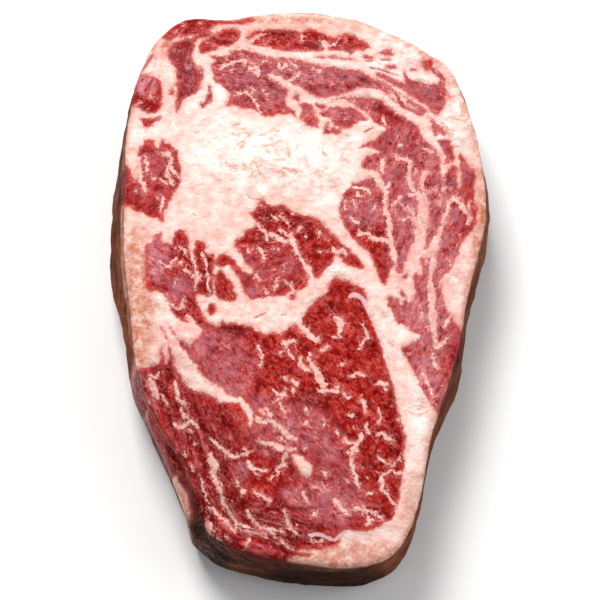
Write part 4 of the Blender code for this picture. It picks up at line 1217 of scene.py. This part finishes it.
        shader.inputs["Subsurface Radius"].default_value = (1.0, 0.35, 0.25)
        shader.inputs["Subsurface Scale"].default_value = 1.0 * MM
        shader.inputs["IOR"].default_value = 1.4
        shader.inputs["Specular IOR Level"].default_value = 0.05
        moist = bench.sum("MULTIPLY", bench.step(bench.noise(1.7, 4.0, 0.7), 0.49, 0.66, 0.5),
                          bench.sum("SUBTRACT", 1.0, side, clamp=True))
        wet = bench.sum("MULTIPLY", stringy, bench.step(bench.noise(0.9, 3.0, 0.6), 0.5, 0.66, 0.6))
        bench.feed(shader.inputs["Coat Weight"], bench.sum("MAXIMUM", moist, wet))
        shader.inputs["Coat Roughness"].default_value = 0.17
        shader.inputs["Coat IOR"].default_value = 1.4


@dataclass
class Ribeye:
    """The slice of beef: its skin, the relief on it and the tissue it carries. Sizes in millimetres."""

    tissue: TissueMap
    finish: MeatFinish
    fat_rise: float = 0.2
    fat_lumps: float = 0.3
    kernel_lumps: float = 0.4
    lean_lumps: float = 0.12
    wall_lumps: float = 0.4
    pull_in: float = 2.2
    drift: float = 3.0
    wall_sway: float = 3.6
    fibre_stretch: float = 1.9
    rim_dry: float = 3.4
    rim_roll: tuple[float, float] = (-0.4, 0.7)
    cord_length: float = 14.0
    cord_width: float = 2.1
    cord_rise: float = 0.9

    def plan(self, vertices: Points, side: np.ndarray) -> Points:
        """Where in the cut face each vertex's tissue comes from.

        Seams drift as they run down through the slice, and the wall shows what lies just inside it.
        """
        down = np.clip(1.0 - vertices[:, 2:] / 29.0, 0.0, 1.0)
        shift = np.column_stack([lumps(vertices, 30.0, 11), lumps(vertices, 30.0, 12)]) * self.drift * down
        away = np.linalg.norm(vertices[:, :2], axis=1, keepdims=True)
        inward = vertices[:, :2] / np.maximum(away, 1.0) * self.pull_in * side[:, None]
        along = vertices[:, [1, 0]] * (-1.0, 1.0) / np.maximum(away, 1.0)
        sway = along * (self.wall_sway * side * (lumps(vertices, 9.0, 13) + 0.5 * lumps(vertices, 4.0, 14)))[:, None]
        return np.column_stack([vertices[:, :2] + shift - inward + sway, vertices[:, 2]])

    def raised(self, vertices: Points, faces: Points, side: np.ndarray, depth: np.ndarray,
               cords: np.ndarray, white_and_highlight: np.ndarray) -> Points:
        """Moves the skin along its normals by the tissue's own relief."""
        outward = normals(vertices, faces)
        fat = 1.0 - smooth(depth, -0.9, 0.7)
        rough = self.fat_lumps + self.kernel_lumps * white_and_highlight
        face = fat * (self.fat_rise + rough * (lumps(vertices, 8.0, 21) + 0.5 * lumps(vertices, 3.6, 22)))
        face += (1.0 - fat) * self.lean_lumps * (lumps(vertices, 3.0, 23) + lumps(vertices, 1.6, 24))
        face += (1.0 - fat) * cords + 0.05 * lumps(vertices, 1.1, 25)
        face += self.tissue.relief(vertices) * (vertices[:, 2] > 15.0)
        layered = vertices * (1.0, 1.0, 2.4)
        wall = self.wall_lumps * (lumps(layered, 7.0, 26) + 0.6 * lumps(layered, 3.2, 27) + 0.25 * lumps(vertices, 1.4, 28))
        under = np.where(outward[:, 2] < -0.5, 0.3, 1.0)
        moved = vertices + outward * ((face * (1.0 - side) + wall * side) * under)[:, None]
        moved[:, 2] = np.maximum(moved[:, 2], 0.0)
        return moved

    def build(self, solid: bpy.types.Object) -> bpy.types.Object:
        """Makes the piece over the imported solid.

        Args:
            solid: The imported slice.

        Returns:
            The finished piece.
        """
        skin = SliceSkin(solid)
        vertices, faces = skin.build()
        rim = np.array([tuple(skin.hit(Vector((0, 0, 25)), out).xy) for out in skin.directions()])
        inset = depth_inside(vertices[:, :2], rim, 8.0) + 0.45 * lumps(vertices, 3.5, 41)
        facing = normals(vertices, faces)[:, 2]
        over = (1.0 - smooth(inset, *self.rim_roll)) * (vertices[:, 2] > 12.0)
        upright = 1.0 - np.abs(facing)
        side = np.maximum(over, smooth(upright, 0.35, 0.85))
        side = np.where(vertices[:, 2] < 6.0, smooth(upright, 0.04, 0.3), side)
        plan = self.plan(vertices, side)
        depth, angle = self.tissue.lean(plan)
        dry = np.maximum(side, 1.0 - smooth(inset, 0.2, self.rim_dry))
        tints = np.column_stack([self.tissue.tint(plan, kind) for kind in (Tint.PAINTED_SHEEN, Tint.DARK_AND_SHADE, Tint.GLOW)])
        fats = np.column_stack([self.tissue.tint(plan, kind) for kind in (Tint.WHITE_AND_HIGHLIGHT, Tint.ORANGE, Tint.STAIN)])
        fresh = self.tissue.tint(plan, Tint.FRESH) * smooth(vertices[:, 2], 5.0, 17.0)
        side = side * (1.0 - fresh)
        dry = dry * (1.0 - 0.7 * fresh)
        place = np.column_stack([side, dry, vertices[:, 2] / 30.0])
        turn = np.radians(angle)
        grain = np.column_stack([
            (plan[:, 0] * np.cos(turn) + plan[:, 1] * np.sin(turn)) / self.fibre_stretch,
            plan[:, 1] * np.cos(turn) - plan[:, 0] * np.sin(turn),
            vertices[:, 2],
        ])
        corners = plan[:, :2][faces]
        threads = self.tissue.threads(corners, [(text, 0.0) for text in THREADS.values()])
        lines = self.tissue.threads(corners, [(text, kind.value) for kind, text in LINES.items()])
        stringy = self.tissue.tint(plan, Tint.STRINGY)
        for laid in (threads, lines):
            laid[side[faces].mean(1) > 0.6, :, 0] = 9.0
        flow = self.tissue.flow(plan)
        cords = flow / (self.cord_length, self.cord_width, self.cord_length)
        moved = self.raised(vertices, faces, side, depth, self.cord_rise * stringy * lumps(cords, 1.0, 31),
                            fats[:, 0])
        mesh = bpy.data.meshes.new("ribeye_meat")
        mesh.from_pydata((moved * MM).tolist(), [], faces.tolist())
        mesh.shade_smooth()
        for name, values in (("tints", tints), ("fats", fats), ("place", place), ("grain", grain),
                             ("flow", flow)):
            carrier = mesh.attributes.new(name, "FLOAT_VECTOR", "POINT")
            carrier.data.foreach_set("vector", values.astype(np.float32).ravel())
        for name, values in (("thread", threads), ("line", lines)):
            carrier = mesh.attributes.new(name, "FLOAT_VECTOR", "CORNER")
            carrier.data.foreach_set("vector", values.astype(np.float32).ravel())
        for name, values in (("lean", depth), ("stringy", stringy)):
            mesh.attributes.new(name, "FLOAT", "POINT").data.foreach_set("value", values.astype(np.float32))
        mesh.materials.append(self.finish.material())
        piece = bpy.data.objects.new("ribeye_meat", mesh)
        bpy.context.scene.collection.objects.link(piece)
        LOG.info("ribeye_meat: %d vertices, %d triangles", len(moved), len(faces))
        return piece


@dataclass(frozen=True)
class Studio:
    """A pale floor, soft lights and the camera. Sizes in metres."""

    target: tuple[float, float, float] = (0.0, -0.002, 0.015)
    distance: float = 0.9
    elevation: float = 74.0
    lens: float = 160.0
    sensor: float = 36.0
    floor_size: float = 6.0

    def aim(self, item: bpy.types.Object, place: Vector) -> None:
        """Puts an object at a place and turns it to look at the target."""
        item.location = place
        item.rotation_euler = (Vector(self.target) - place).to_track_quat("-Z", "Y").to_euler()

    def camera(self) -> None:
        """Adds the camera and makes it the scene's own."""
        data = bpy.data.cameras.new("camera")
        data.lens, data.sensor_width = self.lens, self.sensor
        item = bpy.data.objects.new("camera", data)
        bpy.context.scene.collection.objects.link(item)
        turn = math.radians(self.elevation)
        away = Vector((0.0, -math.cos(turn), math.sin(turn))) * self.distance
        self.aim(item, Vector(self.target) + away)
        bpy.context.scene.camera = item

    def light(self, name: str, place: tuple[float, float, float], size: float, power: float, colour: Colour) -> None:
        """Adds one soft square light that looks at the slice."""
        data = bpy.data.lights.new(name, "AREA")
        data.size, data.energy, data.color = size, power, colour
        item = bpy.data.objects.new(name, data)
        bpy.context.scene.collection.objects.link(item)
        self.aim(item, Vector(place))

    def floor(self) -> None:
        """Adds the pale floor."""
        half = 0.5 * self.floor_size
        mesh = bpy.data.meshes.new("floor")
        mesh.from_pydata([(-half, -half, 0), (half, -half, 0), (half, half, 0), (-half, half, 0)], [], [(0, 1, 2, 3)])
        paint = bpy.data.materials.new("floor_paint")
        paint.use_nodes = True
        shader = next(node for node in paint.node_tree.nodes if node.type == "BSDF_PRINCIPLED")
        shader.inputs["Base Color"].default_value = (0.98, 0.98, 0.98, 1.0)
        shader.inputs["Roughness"].default_value = 0.9
        mesh.materials.append(paint)
        item = bpy.data.objects.new("floor", mesh)
        bpy.context.scene.collection.objects.link(item)

    def build(self) -> None:
        """Sets up the world, the lights, the floor and the camera."""
        scene = bpy.context.scene
        world = bpy.data.worlds.new("studio")
        world.use_nodes = True
        world.node_tree.nodes["Background"].inputs["Color"].default_value = (1.0, 1.0, 1.0, 1.0)
        world.node_tree.nodes["Background"].inputs["Strength"].default_value = 0.36
        scene.world = world
        scene.view_settings.view_transform = "Standard"
        self.light("key", (-0.3, 0.85, 1.0), 0.6, 18.2, (1.0, 0.985, 0.975))
        self.light("right_fill", (1.1, 0.1, 0.8), 1.0, 5.0, (0.97, 0.98, 1.0))
        self.floor()
        self.camera()
        LOG.info("studio: floor, 2 lights and camera")


def main() -> None:
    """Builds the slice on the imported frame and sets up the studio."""
    logging.basicConfig(level=logging.INFO, format="%(name)s: %(message)s")
    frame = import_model()
    piece = Ribeye(TissueMap(), MeatFinish()).build(frame["nodes"]["steak"])
    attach(piece, "root")
    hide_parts("steak")
    Studio().build()


if __name__ == "__main__":
    main()
